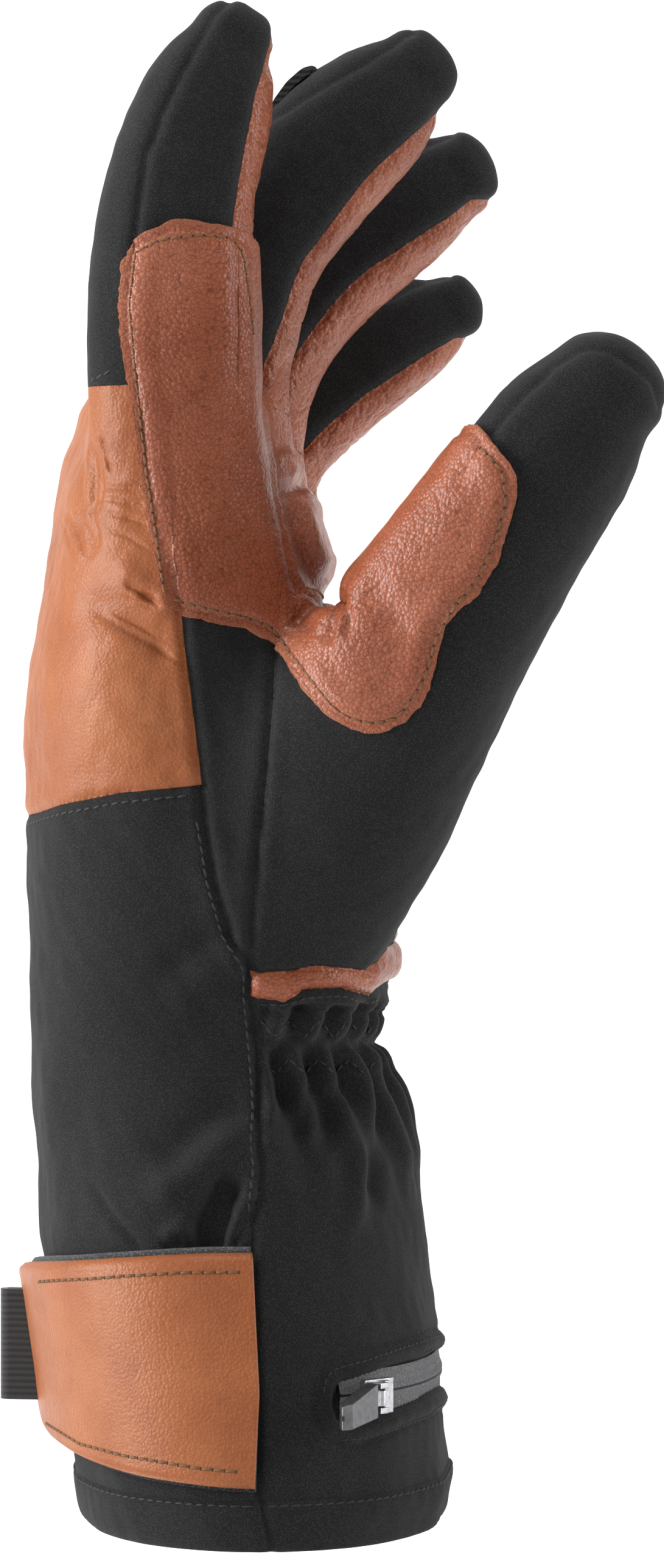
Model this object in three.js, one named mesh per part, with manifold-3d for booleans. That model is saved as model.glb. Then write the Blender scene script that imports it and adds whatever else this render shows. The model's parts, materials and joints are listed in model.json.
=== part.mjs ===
// Left-hand winter glove in cloth and leather, standing upright as worn.
// Millimetres, +Z up to the fingertips, +X to the palm, -Y to the thumb side.
// The origin is the centre of the open cuff, in the plane of its hem.
import * as THREE from 'three';
import { mergeVertices } from 'three/addons/utils/BufferGeometryUtils.js';
import Module from 'manifold-3d';

const wasm = await Module();
wasm.setup();

// Driving sizes
const hand_height = 208;
const hand_thickness = 75.8;
const hand_width = 116;
const wall = 3;
const gap = 0.35;

const index_length = 118;
const index_thickness = 32.5;
const index_width = 26.6;
const middle_length = 129;
const middle_thickness = 38;
const middle_width = 25.6;
const ring_length = 118;
const ring_thickness = 35.5;
const ring_width = 25;
const little_length = 95.8;
const little_thickness = 30.9;
const little_width = 23.6;
const thumb_length = 136.2;
const thumb_thickness = 48;
const thumb_width = 38;

const hem_height = 11;
const hem_proud = 0.8;
const band_proud = 0.9;
const patch_height = 96.6;
const patch_width = 74.3;
const patch_thickness = 1.3;
const patch_reach = 2;
const strip_share = 0.66;

const gather_count = 22;
const gather_depth = 1.5;
const ruffle_flare = 0.9;

const strap_height = 43;
const strap_lift = 3;
const strap_thickness = 2.4;
const backing_thickness = 1.4;
const backing_margin = 0.8;
const tab_height = 22;
const tab_length = 13;
const tab_thickness = 4.4;
const webbing = 1.3;

const zip_rise = 28.3;
const tape_height = 8.6;
const tape_thickness = 1;
const teeth_height = 2.6;
const teeth_thickness = 1.1;
const zip_start = -66;
const zip_end = 30;
const slider_turn = 10;
const teeth_turn = 16;
const slider_length = 8;
const slider_height = 6.6;
const slider_thickness = 2.4;
const lug_thickness = 1.3;
const pin_radius = 0.55;
const barrel_radius = 1.35;
const puller_length = 11;
const puller_height = 4.6;
const puller_thickness = 3.2;
const puller_hole = 1.1;
const hinge_play = 0.3;
const pin_play = 0.08;
const puller_rest = 12;

const loop_length = 10;
const loop_width = 9;
const loop_rise = 3.4;
const loop_strand = 1.7;

// Hand tube from hem to knuckles: up is a share of hand_height, centre and
// thick of hand_thickness, wide of hand_width, square is how boxy it is.
const hand_sections = [
  { up: 0.000, centre: 0.003, thick: 0.920, wide: 0.966, square: 2.2 },
  { up: 0.067, centre: -0.016, thick: 0.960, wide: 0.983, square: 2.2 },
  { up: 0.144, centre: -0.029, thick: 0.987, wide: 0.950, square: 2.2 },
  { up: 0.221, centre: -0.062, thick: 0.984, wide: 0.897, square: 2.2 },
  { up: 0.269, centre: -0.082, thick: 1.000, wide: 0.845, square: 2.2 },
  { up: 0.337, centre: -0.096, thick: 0.982, wide: 0.793, square: 2.2 },
  { up: 0.385, centre: -0.125, thick: 0.955, wide: 0.741, square: 2.2 },
  { up: 0.418, centre: -0.146, thick: 0.915, wide: 0.707, square: 2.2 },
  { up: 0.445, centre: -0.161, thick: 0.887, wide: 0.690, square: 2.2 },
  { up: 0.471, centre: -0.161, thick: 0.897, wide: 0.690, square: 2.2 },
  { up: 0.495, centre: -0.142, thick: 0.934, wide: 0.707, square: 2.3 },
  { up: 0.538, centre: -0.129, thick: 0.955, wide: 0.741, square: 2.3 },
  { up: 0.600, centre: -0.145, thick: 0.939, wide: 0.793, square: 2.4 },
  { up: 0.669, centre: -0.169, thick: 0.900, wide: 0.845, square: 2.4 },
  { up: 0.738, centre: -0.195, thick: 0.865, wide: 0.879, square: 2.5 },
  { up: 0.796, centre: -0.199, thick: 0.834, wide: 0.897, square: 2.6 },
  { up: 0.854, centre: -0.195, thick: 0.786, wide: 0.897, square: 2.6 },
  { up: 0.912, centre: -0.204, thick: 0.705, wide: 0.872, square: 2.6 },
  { up: 0.958, centre: -0.211, thick: 0.640, wide: 0.828, square: 2.5 },
  { up: 0.992, centre: -0.215, thick: 0.550, wide: 0.740, square: 2.4 },
];

// Folds and hollows of the hand tube: up and tall are shares of hand_height,
// turn and round are degrees about +Z from the palm, climb is the share of
// hand_height gained in 90 degrees, deep is a share of the wall, minus is in.
const hand_folds = [
  { up: 0.290, turn: -96, tall: 0.022, round: 9, climb: 0.00, deep: -0.55 },
  { up: 0.335, turn: -106, tall: 0.020, round: 16, climb: 0.35, deep: 0.55 },
  { up: 0.292, turn: -124, tall: 0.018, round: 15, climb: -0.22, deep: -0.50 },
  { up: 0.345, turn: -140, tall: 0.025, round: 18, climb: 0.20, deep: 0.35 },
  { up: 0.400, turn: -118, tall: 0.020, round: 16, climb: 0.15, deep: -0.40 },
  { up: 0.550, turn: -112, tall: 0.025, round: 14, climb: 0.25, deep: 0.40 },
  { up: 0.585, turn: -126, tall: 0.020, round: 14, climb: 0.25, deep: -0.35 },
  { up: 0.860, turn: -112, tall: 0.018, round: 12, climb: -0.12, deep: -0.45 },
  { up: 0.915, turn: -160, tall: 0.016, round: 20, climb: 0.05, deep: -0.40 },
  { up: 0.880, turn: -165, tall: 0.018, round: 24, climb: 0.05, deep: 0.30 },
  { up: 0.320, turn: -50, tall: 0.040, round: 6, climb: 0.00, deep: 0.45 },
  { up: 0.330, turn: -20, tall: 0.045, round: 6, climb: 0.00, deep: 0.45 },
  { up: 0.300, turn: -70, tall: 0.030, round: 6, climb: 0.10, deep: -0.40 },
];

// Elastic gathers of the palm side of the cuff: up is a share of hand_height,
// deep of gather_depth and flare of ruffle_flare.
const gather_rows = [
  { up: 0.000, deep: 0.00, flare: 0.0 },
  { up: 0.250, deep: 0.00, flare: 0.0 },
  { up: 0.330, deep: 0.25, flare: 0.0 },
  { up: 0.385, deep: 0.60, flare: 0.0 },
  { up: 0.418, deep: 0.80, flare: 0.0 },
  { up: 0.445, deep: 0.85, flare: 0.0 },
  { up: 0.471, deep: 0.90, flare: 0.4 },
  { up: 0.500, deep: 1.00, flare: 1.0 },
  { up: 1.000, deep: 1.00, flare: 1.0 },
];

// Fingers and thumb: at is a share of the length, lean and splay are the
// degrees of the stretch that ends there, towards the palm and the thumb
// side, thick and wide are shares of the limb's own thickness and width.
const index_sections = [
  { at: 0.000, lean: -2, splay: 5, thick: 0.86, wide: 0.85 },
  { at: 0.216, lean: -2, splay: 5, thick: 0.95, wide: 0.97 },
  { at: 0.324, lean: -2, splay: 4, thick: 0.99, wide: 1.00 },
  { at: 0.431, lean: -1, splay: 3, thick: 1.00, wide: 1.00 },
  { at: 0.529, lean: -1, splay: 0, thick: 0.98, wide: 1.00 },
  { at: 0.607, lean: 1, splay: 0, thick: 0.93, wide: 1.00 },
  { at: 0.686, lean: 7, splay: 0, thick: 0.88, wide: 0.99 },
  { at: 0.767, lean: 15, splay: 0, thick: 0.86, wide: 0.97 },
  { at: 0.851, lean: 21, splay: 0, thick: 0.80, wide: 0.93 },
  { at: 0.929, lean: 21, splay: 0, thick: 0.62, wide: 0.81 },
  { at: 0.978, lean: 19, splay: 0, thick: 0.38, wide: 0.59 },
  { at: 1.000, lean: 15, splay: 0, thick: 0.21, wide: 0.37 },
];
const middle_sections = [
  { at: 0.000, lean: 0, splay: 3, thick: 0.84, wide: 0.88 },
  { at: 0.209, lean: 0, splay: 3, thick: 1.00, wide: 1.00 },
  { at: 0.287, lean: 1, splay: 2, thick: 0.99, wide: 1.00 },
  { at: 0.372, lean: 14, splay: 0, thick: 0.91, wide: 1.00 },
  { at: 0.464, lean: 19, splay: 0, thick: 0.83, wide: 1.00 },
  { at: 0.565, lean: 20, splay: 0, thick: 0.79, wide: 1.00 },
  { at: 0.638, lean: 33, splay: 0, thick: 0.76, wide: 1.00 },
  { at: 0.718, lean: 42, splay: 0, thick: 0.74, wide: 1.00 },
  { at: 0.796, lean: 45, splay: 0, thick: 0.73, wide: 0.97 },
  { at: 0.879, lean: 46, splay: 0, thick: 0.67, wide: 0.92 },
  { at: 0.941, lean: 48, splay: 0, thick: 0.57, wide: 0.82 },
  { at: 0.978, lean: 51, splay: 0, thick: 0.41, wide: 0.63 },
  { at: 1.000, lean: 50, splay: 0, thick: 0.24, wide: 0.38 },
];
const ring_sections = [
  { at: 0.000, lean: 7, splay: -3, thick: 0.90, wide: 0.90 },
  { at: 0.211, lean: 7, splay: -3, thick: 1.00, wide: 1.00 },
  { at: 0.326, lean: 9, splay: 0, thick: 0.93, wide: 1.00 },
  { at: 0.434, lean: 17, splay: 0, thick: 0.88, wide: 1.00 },
  { at: 0.540, lean: 29, splay: 0, thick: 0.84, wide: 1.00 },
  { at: 0.644, lean: 44, splay: 0, thick: 0.79, wide: 0.99 },
  { at: 0.729, lean: 51, splay: 0, thick: 0.75, wide: 0.99 },
  { at: 0.801, lean: 53, splay: 0, thick: 0.74, wide: 0.97 },
  { at: 0.869, lean: 55, splay: 0, thick: 0.70, wide: 0.92 },
  { at: 0.932, lean: 58, splay: 0, thick: 0.60, wide: 0.82 },
  { at: 0.974, lean: 59, splay: 0, thick: 0.45, wide: 0.66 },
  { at: 1.000, lean: 59, splay: 0, thick: 0.27, wide: 0.43 },
];
const little_sections = [
  { at: 0.000, lean: 10, splay: -8, thick: 0.91, wide: 0.92 },
  { at: 0.274, lean: 10, splay: -8, thick: 1.00, wide: 1.00 },
  { at: 0.377, lean: 17, splay: -6, thick: 0.94, wide: 1.00 },
  { at: 0.476, lean: 32, splay: 0, thick: 0.89, wide: 1.00 },
  { at: 0.592, lean: 47, splay: 0, thick: 0.86, wide: 0.98 },
  { at: 0.699, lean: 52, splay: 0, thick: 0.83, wide: 0.98 },
  { at: 0.795, lean: 58, splay: 0, thick: 0.78, wide: 0.96 },
  { at: 0.875, lean: 62, splay: 0, thick: 0.70, wide: 0.88 },
  { at: 0.938, lean: 66, splay: 0, thick: 0.57, wide: 0.75 },
  { at: 0.978, lean: 67, splay: 0, thick: 0.41, wide: 0.58 },
  { at: 1.000, lean: 69, splay: 0, thick: 0.24, wide: 0.38 },
];
const thumb_sections = [
  { at: 0.000, lean: 23, splay: 18, thick: 0.79, wide: 0.79 },
  { at: 0.118, lean: 23, splay: 18, thick: 1.00, wide: 1.00 },
  { at: 0.285, lean: 31, splay: 23, thick: 0.94, wide: 1.00 },
  { at: 0.430, lean: 30, splay: 21, thick: 0.85, wide: 0.95 },
  { at: 0.574, lean: 33, splay: 15, thick: 0.76, wide: 0.89 },
  { at: 0.695, lean: 34, splay: 10, thick: 0.69, wide: 0.87 },
  { at: 0.791, lean: 34, splay: 9, thick: 0.65, wide: 0.84 },
  { at: 0.870, lean: 35, splay: 5, thick: 0.61, wide: 0.82 },
  { at: 0.922, lean: 34, splay: 4, thick: 0.55, wide: 0.75 },
  { at: 0.959, lean: 33, splay: 0, thick: 0.45, wide: 0.63 },
  { at: 0.985, lean: 35, splay: 0, thick: 0.30, wide: 0.47 },
  { at: 1.000, lean: 34, splay: 0, thick: 0.17, wide: 0.29 },
];

// Roots inside the hand tube and the cloth hem of each finger: forward is a
// share of hand_thickness, side of hand_width, up and hem of hand_height,
// edge is the side where the next finger starts.
const roots = {
  index: { forward: -0.201, side: -0.300, up: 0.837, hem: 1.048, edge: -0.2190 },
  middle: { forward: -0.208, side: -0.086, up: 0.837, hem: 1.038, edge: 0.0108 },
  ring: { forward: -0.193, side: 0.112, up: 0.837, hem: 1.016, edge: 0.2300 },
  little: { forward: -0.152, side: 0.306, up: 0.827, hem: 0.985, edge: 0.9000 },
  thumb: { forward: 0.000, side: -0.207, up: 0.543, hem: 0, edge: -0.070 },
};

// Seams seen from the thumb side: up is a share of hand_height, forward of
// hand_thickness.
const back_seam = [
  { up: -0.200, forward: -0.012 },
  { up: 0.053, forward: -0.012 },
  { up: 0.260, forward: -0.029 },
  { up: 0.394, forward: -0.003 },
  { up: 0.515, forward: -0.027 },
  { up: 0.549, forward: -0.078 },
  { up: 0.598, forward: -0.118 },
  { up: 0.653, forward: -0.142 },
  { up: 0.758, forward: -0.172 },
  { up: 0.842, forward: -0.199 },
  { up: 1.500, forward: -0.211 },
];
const gusset_seam = [
  { up: 0.532, forward: -0.027 },
  { up: 0.570, forward: -0.022 },
  { up: 0.637, forward: -0.006 },
  { up: 0.763, forward: 0.026 },
  { up: 0.813, forward: 0.033 },
];
const knuckle_hem = [
  { up: 0.655, forward: -1.500 },
  { up: 0.659, forward: -0.600 },
  { up: 0.670, forward: -0.450 },
  { up: 0.687, forward: -0.150 },
  { up: 0.687, forward: 0.300 },
];
const band_top = [
  { up: 0.517, forward: -0.200 },
  { up: 0.517, forward: 0.000 },
  { up: 0.520, forward: 0.140 },
  { up: 0.526, forward: 0.290 },
  { up: 0.548, forward: 0.340 },
  { up: 0.560, forward: 1.500 },
];
const band_low = [
  { up: 0.493, forward: -0.200 },
  { up: 0.495, forward: 0.310 },
  { up: 0.505, forward: 1.500 },
];
// Outline of the thumb's own cloth, over the palm half of the hand.
const thumb_outline = [
  { up: 0.500, forward: -0.040 },
  { up: 0.813, forward: 0.033 },
  { up: 0.850, forward: 0.060 },
  { up: 0.866, forward: 0.200 },
  { up: 0.912, forward: 0.200 },
  { up: 1.068, forward: 0.590 },
  { up: 1.300, forward: 0.900 },
  { up: 1.300, forward: 1.500 },
  { up: 0.500, forward: 1.500 },
];

// Outline of the patch over the fork of thumb and index finger, from the
// fork: up is a share of patch_height, forward of patch_width.
const patch_outline = [
  { up: -0.021, forward: -0.402 },
  { up: 0.100, forward: -0.451 },
  { up: 0.279, forward: -0.488 },
  { up: 0.433, forward: -0.514 },
  { up: 0.575, forward: -0.531 },
  { up: 0.658, forward: -0.525 },
  { up: 0.704, forward: -0.494 },
  { up: 0.741, forward: -0.394 },
  { up: 0.724, forward: -0.263 },
  { up: 0.690, forward: -0.200 },
  { up: 0.560, forward: -0.160 },
  { up: 0.290, forward: -0.120 },
  { up: 0.030, forward: -0.075 },
  { up: 0.030, forward: 0.030 },
  { up: 0.360, forward: 0.330 },
  { up: 0.310, forward: 0.410 },
  { up: 0.266, forward: 0.451 },
  { up: 0.196, forward: 0.468 },
  { up: 0.065, forward: 0.416 },
  { up: -0.018, forward: 0.323 },
  { up: -0.136, forward: 0.248 },
  { up: -0.213, forward: 0.184 },
  { up: -0.258, forward: 0.099 },
  { up: -0.213, forward: -0.024 },
  { up: -0.118, forward: -0.116 },
  { up: -0.056, forward: -0.171 },
  { up: -0.041, forward: -0.250 },
];
const patch_root = { forward: 0.175, up: 0.854 };

// Strap round the back of the cuff: turn in degrees, low and high are shares
// of strap_height above its lowest edge, lift is a share of strap_lift.
const strap_rows = [
  { turn: -89, low: 0.00, high: 1.00, lift: 0.00 },
  { turn: -98, low: 0.01, high: 1.00, lift: 0.00 },
  { turn: -108, low: 0.04, high: 0.99, lift: 0.00 },
  { turn: -120, low: 0.08, high: 0.98, lift: 0.00 },
  { turn: -134, low: 0.12, high: 0.97, lift: 0.05 },
  { turn: -148, low: 0.17, high: 0.96, lift: 0.20 },
  { turn: -160, low: 0.22, high: 0.96, lift: 0.45 },
  { turn: -169, low: 0.27, high: 0.95, lift: 0.75 },
  { turn: -175, low: 0.35, high: 0.91, lift: 0.95 },
  { turn: -178, low: 0.46, high: 0.80, lift: 1.05 },
];

const palm = new THREE.Color(0xb06a44);
const paint = {
  cloth: new THREE.MeshStandardMaterial({ color: 0x2b2b2d, roughness: 0.95 }),
  tan: new THREE.MeshStandardMaterial({ color: 0xc68254, roughness: 0.6 }),
  brown: new THREE.MeshStandardMaterial({ color: palm, roughness: 0.5 }),
  webbing: new THREE.MeshStandardMaterial({ color: 0x1c1c1d, roughness: 0.9 }),
  tape: new THREE.MeshStandardMaterial({ color: 0x6e6f72, roughness: 0.85 }),
  dark: new THREE.MeshStandardMaterial({ color: 0x4a4c50, roughness: 0.35, metalness: 0.9 }),
  bright: new THREE.MeshStandardMaterial({ color: 0xb9bcc0, roughness: 0.2, metalness: 1 }),
};

const far = 4 * hand_thickness;
const rad = THREE.MathUtils.degToRad;

// Solids from triangles
function solid(geometry) {
  geometry.deleteAttribute('normal');
  geometry.deleteAttribute('uv');
  const merged = mergeVertices(geometry, 1e-5);
  const index = merged.index ? merged.index.array : [];
  return new wasm.Manifold(new wasm.Mesh({
    numProp: 3,
    vertProperties: new Float32Array(merged.attributes.position.array),
    triVerts: new Uint32Array(index),
  }));
}

function fromTriangles(points, faces) {
  const geometry = new THREE.BufferGeometry();
  geometry.setAttribute('position', new THREE.Float32BufferAttribute(points.flatMap((p) => [p.x, p.y, p.z]), 3));
  geometry.setIndex(faces.flat());
  return solid(geometry);
}

// A closed tube through rings of equal length, with a point at each end.
function loft(rings, start, end) {
  const n = rings[0].length;
  const points = rings.flat();
  const faces = [];
  for (let i = 0; i < rings.length - 1; i += 1) {
    for (let k = 0; k < n; k += 1) {
      const a = i * n + k;
      const b = i * n + (k + 1) % n;
      faces.push([a, b, b + n], [a, b + n, a + n]);
    }
  }
  const first = points.push(start) - 1;
  const last = points.push(end) - 1;
  const top = (rings.length - 1) * n;
  for (let k = 0; k < n; k += 1) {
    faces.push([first, (k + 1) % n, k]);
    faces.push([last, top + k, top + (k + 1) % n]);
  }
  return fromTriangles(points, faces);
}

// A sheet with thickness from two grids of points, outside and inside.
function sheet(outer, inner) {
  const rows = outer.length;
  const cols = outer[0].length;
  const points = [...outer.flat(), ...inner.flat()];
  const faces = [];
  const o = (i, k) => i * cols + k;
  const u = (i, k) => rows * cols + i * cols + k;
  for (let i = 0; i < rows - 1; i += 1) {
    for (let k = 0; k < cols - 1; k += 1) {
      faces.push([o(i, k), o(i + 1, k), o(i + 1, k + 1)], [o(i, k), o(i + 1, k + 1), o(i, k + 1)]);
      faces.push([u(i, k), u(i + 1, k + 1), u(i + 1, k)], [u(i, k), u(i, k + 1), u(i + 1, k + 1)]);
    }
    faces.push([o(i, 0), u(i, 0), u(i + 1, 0)], [o(i, 0), u(i + 1, 0), o(i + 1, 0)]);
    const e = cols - 1;
    faces.push([o(i, e), u(i + 1, e), u(i, e)], [o(i, e), o(i + 1, e), u(i + 1, e)]);
  }
  for (let k = 0; k < cols - 1; k += 1) {
    faces.push([o(0, k), o(0, k + 1), u(0, k + 1)], [o(0, k), u(0, k + 1), u(0, k)]);
    const e = rows - 1;
    faces.push([o(e, k), u(e, k + 1), o(e, k + 1)], [o(e, k), u(e, k), u(e, k + 1)]);
  }
  const made = fromTriangles(points, faces);
  return made.volume() > 0 ? made : fromTriangles(points, faces.map(([a, b, c]) => [a, c, b]));
}

// An outline in X and Z carried along Y.
function prism(outline, from, to) {
  const shape = new THREE.Shape(outline.map((p) => new THREE.Vector2(p.x, p.z)));
  const geometry = new THREE.ExtrudeGeometry(shape, { depth: to - from, bevelEnabled: false, curveSegments: 6 });
  geometry.rotateX(Math.PI / 2);
  geometry.translate(0, to, 0);
  return solid(geometry);
}

function block(x0, x1, y0, y1, z0, z1) {
  const geometry = new THREE.BoxGeometry(x1 - x0, y1 - y0, z1 - z0);
  geometry.translate((x0 + x1) / 2, (y0 + y1) / 2, (z0 + z1) / 2);
  return solid(geometry);
}

// A cut can leave a crumb where two seams meet, so a piece is its main body.
function node(name, whole_body, material) {
  const bodies = whole_body.decompose();
  const body = bodies.reduce((most, one) => (one.volume() > most.volume() ? one : most));
  const data = body.getMesh();
  const geometry = new THREE.BufferGeometry();
  geometry.setAttribute('position', new THREE.BufferAttribute(data.vertProperties, 3));
  geometry.setIndex(new THREE.BufferAttribute(data.triVerts, 1));
  geometry.computeVertexNormals();
  const mesh = new THREE.Mesh(geometry, material);
  mesh.name = name;
  return mesh;
}

// The hand tube
function between(rows, up) {
  const i = Math.max(1, rows.findIndex((row) => row.up >= up));
  const a = rows[i - 1];
  const b = rows[i];
  const t = (up - a.up) / (b.up - a.up);
  const mix = {};
  for (const key of Object.keys(a)) {
    mix[key] = a[key] + (b[key] - a[key]) * t;
  }
  return mix;
}

function foldAt(up, turn) {
  let deep = 0;
  for (const fold of hand_folds) {
    const away = turn - fold.turn;
    const rise = up - fold.up - fold.climb * away / 90;
    deep += fold.deep * wall * Math.exp(-((away / fold.round) ** 2) - ((rise / fold.tall) ** 2));
  }
  return deep;
}

function handPoint(up, turn, offset) {
  const row = between(hand_sections, Math.min(up, hand_sections.at(-1).up));
  const angle = rad(turn);
  const c = Math.cos(angle);
  const s = Math.sin(angle);
  const power = 2 / row.square;
  const x = (row.thick * hand_thickness / 2 + offset) * Math.sign(c) * Math.abs(c) ** power;
  const y = (row.wide * hand_width / 2 + offset) * Math.sign(s) * Math.abs(s) ** power;
  return new THREE.Vector3(row.centre * hand_thickness + x, y, up * hand_height);
}

function handTube(offset, turns, ups, relief, below) {
  const rings = ups.map((up) => turns.map((turn) => handPoint(up, turn, offset + relief(up, turn))));
  const last = hand_sections.at(-1);
  const centre = last.centre * hand_thickness;
  if (below > 0) {
    rings.unshift(rings[0].map((p) => new THREE.Vector3(p.x, p.y, p.z - below)));
  }
  const start = new THREE.Vector3(0, 0, -below);
  const end = new THREE.Vector3(centre, 0, hand_height + offset);
  return loft(rings, start, end);
}

function evenTurns(count) {
  return Array.from({ length: count }, (_, k) => -180 + 360 * k / count);
}

const table_ups = hand_sections.map((row) => row.up);
const ring_space = 0.016;
const fold_ups = hand_folds.map((fold) => fold.up).sort((a, b) => a - b);
const fine_ups = [...table_ups];
for (const up of fold_ups) {
  if (fine_ups.every((other) => Math.abs(other - up) > ring_space)) {
    fine_ups.push(up);
  }
}
fine_ups.sort((a, b) => a - b);
const plain = () => 0;

function gatherAt(up, turn) {
  const row = between(gather_rows, up);
  const inside = Math.min(1, Math.max(0, (86 - Math.abs(turn)) / 10));
  const wave = Math.cos(rad(turn) * gather_count * 2) * 0.5;
  return inside * (wave * row.deep * gather_depth + row.flare * ruffle_flare) + foldAt(up, turn);
}

// Fingers and thumb
function limbPath(limb) {
  const at = new THREE.Vector3(
    limb.root.forward * hand_thickness,
    limb.root.side * hand_width,
    limb.root.up * hand_height,
  );
  const path = [];
  limb.rows.forEach((row, i) => {
    const before = limb.rows[i - 1];
    const lean = rad(row.lean);
    const splay = rad(row.splay);
    const along = new THREE.Vector3(
      Math.sin(lean) * Math.cos(splay),
      -Math.sin(splay),
      Math.cos(lean) * Math.cos(splay),
    );
    if (before) {
      at.addScaledVector(along, (row.at - before.at) * limb.length);
    }
    const after = limb.rows[i + 1] ?? row;
    const tilt = rad((row.lean + after.lean) / 2);
    path.push({
      point: at.clone(),
      along,
      front: new THREE.Vector3(Math.cos(tilt), 0, -Math.sin(tilt)),
      side: new THREE.Vector3(0, 1, 0),
      thick: row.thick * limb.thickness / 2,
      wide: row.wide * limb.width / 2,
    });
  });
  return path;
}

function limbTube(limb, offset, count, skip = 1) {
  const least = 1.2;
  const path = limbPath(limb);
  const kept = path.filter((p, i) => Math.min(p.thick, p.wide) + offset > least && i % skip === 0);
  const rings = kept.map((p) => evenTurns(count).map((turn) => {
    const angle = rad(turn);
    return p.point.clone()
      .addScaledVector(p.front, (p.thick + offset) * Math.cos(angle))
      .addScaledVector(p.side, (p.wide + offset) * Math.sin(angle));
  }));
  const tip = path.at(-1);
  const end = tip.point.clone().addScaledVector(tip.along, tip.thick * 0.45 + offset);
  return loft(rings, kept[0].point, end);
}

// The palm-side strip of a finger, as a long four-sided bar.
function stripBar(limb, shift) {
  const rings = limbPath(limb).map((p) => {
    const near = p.thick * strip_share + shift;
    const reach = p.thick + limb.thickness / 4;
    const across = p.wide + limb.width / 4;
    const corner = (u, v) => p.point.clone().addScaledVector(p.front, u).addScaledVector(p.side, v);
    return [corner(near, -across), corner(reach, -across), corner(reach, across), corner(near, across)];
  });
  const middle = (ring) => ring.reduce((sum, p) => sum.add(p), new THREE.Vector3()).divideScalar(4);
  return loft(rings, middle(rings[0]), middle(rings.at(-1)));
}

const limbs = [
  { name: 'index', length: index_length, thickness: index_thickness, width: index_width, rows: index_sections },
  { name: 'middle', length: middle_length, thickness: middle_thickness, width: middle_width, rows: middle_sections },
  { name: 'ring', length: ring_length, thickness: ring_thickness, width: ring_width, rows: ring_sections },
  { name: 'little', length: little_length, thickness: little_thickness, width: little_width, rows: little_sections },
  { name: 'thumb', length: thumb_length, thickness: thumb_thickness, width: thumb_width, rows: thumb_sections },
];
for (const limb of limbs) {
  limb.root = roots[limb.name];
}
const thumb = limbs[4];

function whole(offset, turns, ups, relief, sides, below) {
  let body = handTube(offset, turns, ups, relief, below);
  for (const limb of limbs) {
    body = body.add(limbTube(limb, offset, limb === thumb ? sides + 4 : sides, below > 0 ? 2 : 1));
  }
  return body;
}

// Zones that cut the glove into its panels
function outlineOf(rows, dx, dz) {
  return rows.map((row) => ({ x: row.forward * hand_thickness + dx, z: row.up * hand_height + dz }));
}

const half = gap / 2;
const high = 2 * hand_height;
function backOf(shift) {
  const line = outlineOf(back_seam, shift, 0);
  return prism([{ x: -far, z: line[0].z }, ...line, { x: -far, z: line.at(-1).z }].reverse(), -far, far);
}
function aboveLine(rows, shift) {
  const line = outlineOf(rows, 0, shift);
  return prism([{ x: line[0].x, z: high }, ...line, { x: line.at(-1).x, z: high }], -far, far);
}
function gussetBlank(grow, from, to) {
  const left = outlineOf(back_seam.slice(5, 10), -grow, 0);
  const right = outlineOf(gusset_seam, grow, 0);
  const top = [left.at(-1), right.at(-1)];
  for (const p of top) {
    p.z += grow;
  }
  right[0].z -= 3 * grow;
  return prism([...right, ...left.reverse()], from, to);
}
function centredOutline(rows, grow) {
  const line = outlineOf(rows, 0, 0);
  const mid = {
    x: line.reduce((sum, p) => sum + p.x, 0) / line.length,
    z: line.reduce((sum, p) => sum + p.z, 0) / line.length,
  };
  return line.map((p) => {
    const d = Math.hypot(p.x - mid.x, p.z - mid.z);
    return { x: p.x + (p.x - mid.x) / d * grow, z: p.z + (p.z - mid.z) / d * grow };
  });
}
const thumb_edge = roots.thumb.edge * hand_width;
function thumbZone(grow) {
  return prism(centredOutline(thumb_outline, grow).reverse(), -far, thumb_edge + grow);
}

// Walls
const turns = evenTurns(32);
const skin = whole(0, turns, fine_ups, foldAt, 12, 0);
const hollow = whole(-wall, evenTurns(16), table_ups, plain, 8, 5);
const shell = skin.subtract(hollow);
const upper = shell.subtract(block(-far, far, -far, far, -far, hem_height + gap));

const pieces = [];
const edges = [-far, ...limbs.slice(0, 4).map((limb) => limb.root.edge * hand_width)];
edges[4] = far;
let fingerZone = null;
limbs.slice(0, 4).forEach((limb, i) => {
  const hem = limb.root.hem * hand_height;
  const room = block(-far, far, edges[i] - half, edges[i + 1] + half, hem - half, high);
  fingerZone = fingerZone ? fingerZone.add(room) : room;
  const zone = block(-far, far, edges[i] + gap + half, edges[i + 1] - gap - half, hem + half, high);
  const finger = upper.intersect(zone).subtract(thumbZone(half));
  pieces.push(node(`${limb.name}_shell`, finger.subtract(stripBar(limb, -half)), paint.cloth));
  pieces.push(node(`${limb.name}_strip`, finger.intersect(stripBar(limb, half)), paint.brown));
});
const lower = upper.subtract(fingerZone);

const thumb_wall = upper.intersect(thumbZone(-half)).intersect(aboveLine(band_top, half)).subtract(backOf(half));
pieces.push(node('thumb_shell', thumb_wall, paint.cloth));

const back = lower.intersect(backOf(-half));
pieces.push(node('knuckle_leather', back.intersect(aboveLine(knuckle_hem, half)), paint.tan));
pieces.push(node('hand_back_panel', back.subtract(aboveLine(knuckle_hem, -half)), paint.cloth));

const front = lower.subtract(backOf(half)).intersect(aboveLine(band_top, half)).subtract(thumbZone(half));
pieces.push(node('thumb_side_gusset', front.intersect(gussetBlank(-half, -far, 0)), paint.cloth));
pieces.push(node('little_side_gusset', front.intersect(gussetBlank(-half, 0, far)), paint.cloth));
pieces.push(node('palm_leather', front.subtract(gussetBlank(half, -far, far)), paint.brown));

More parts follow.
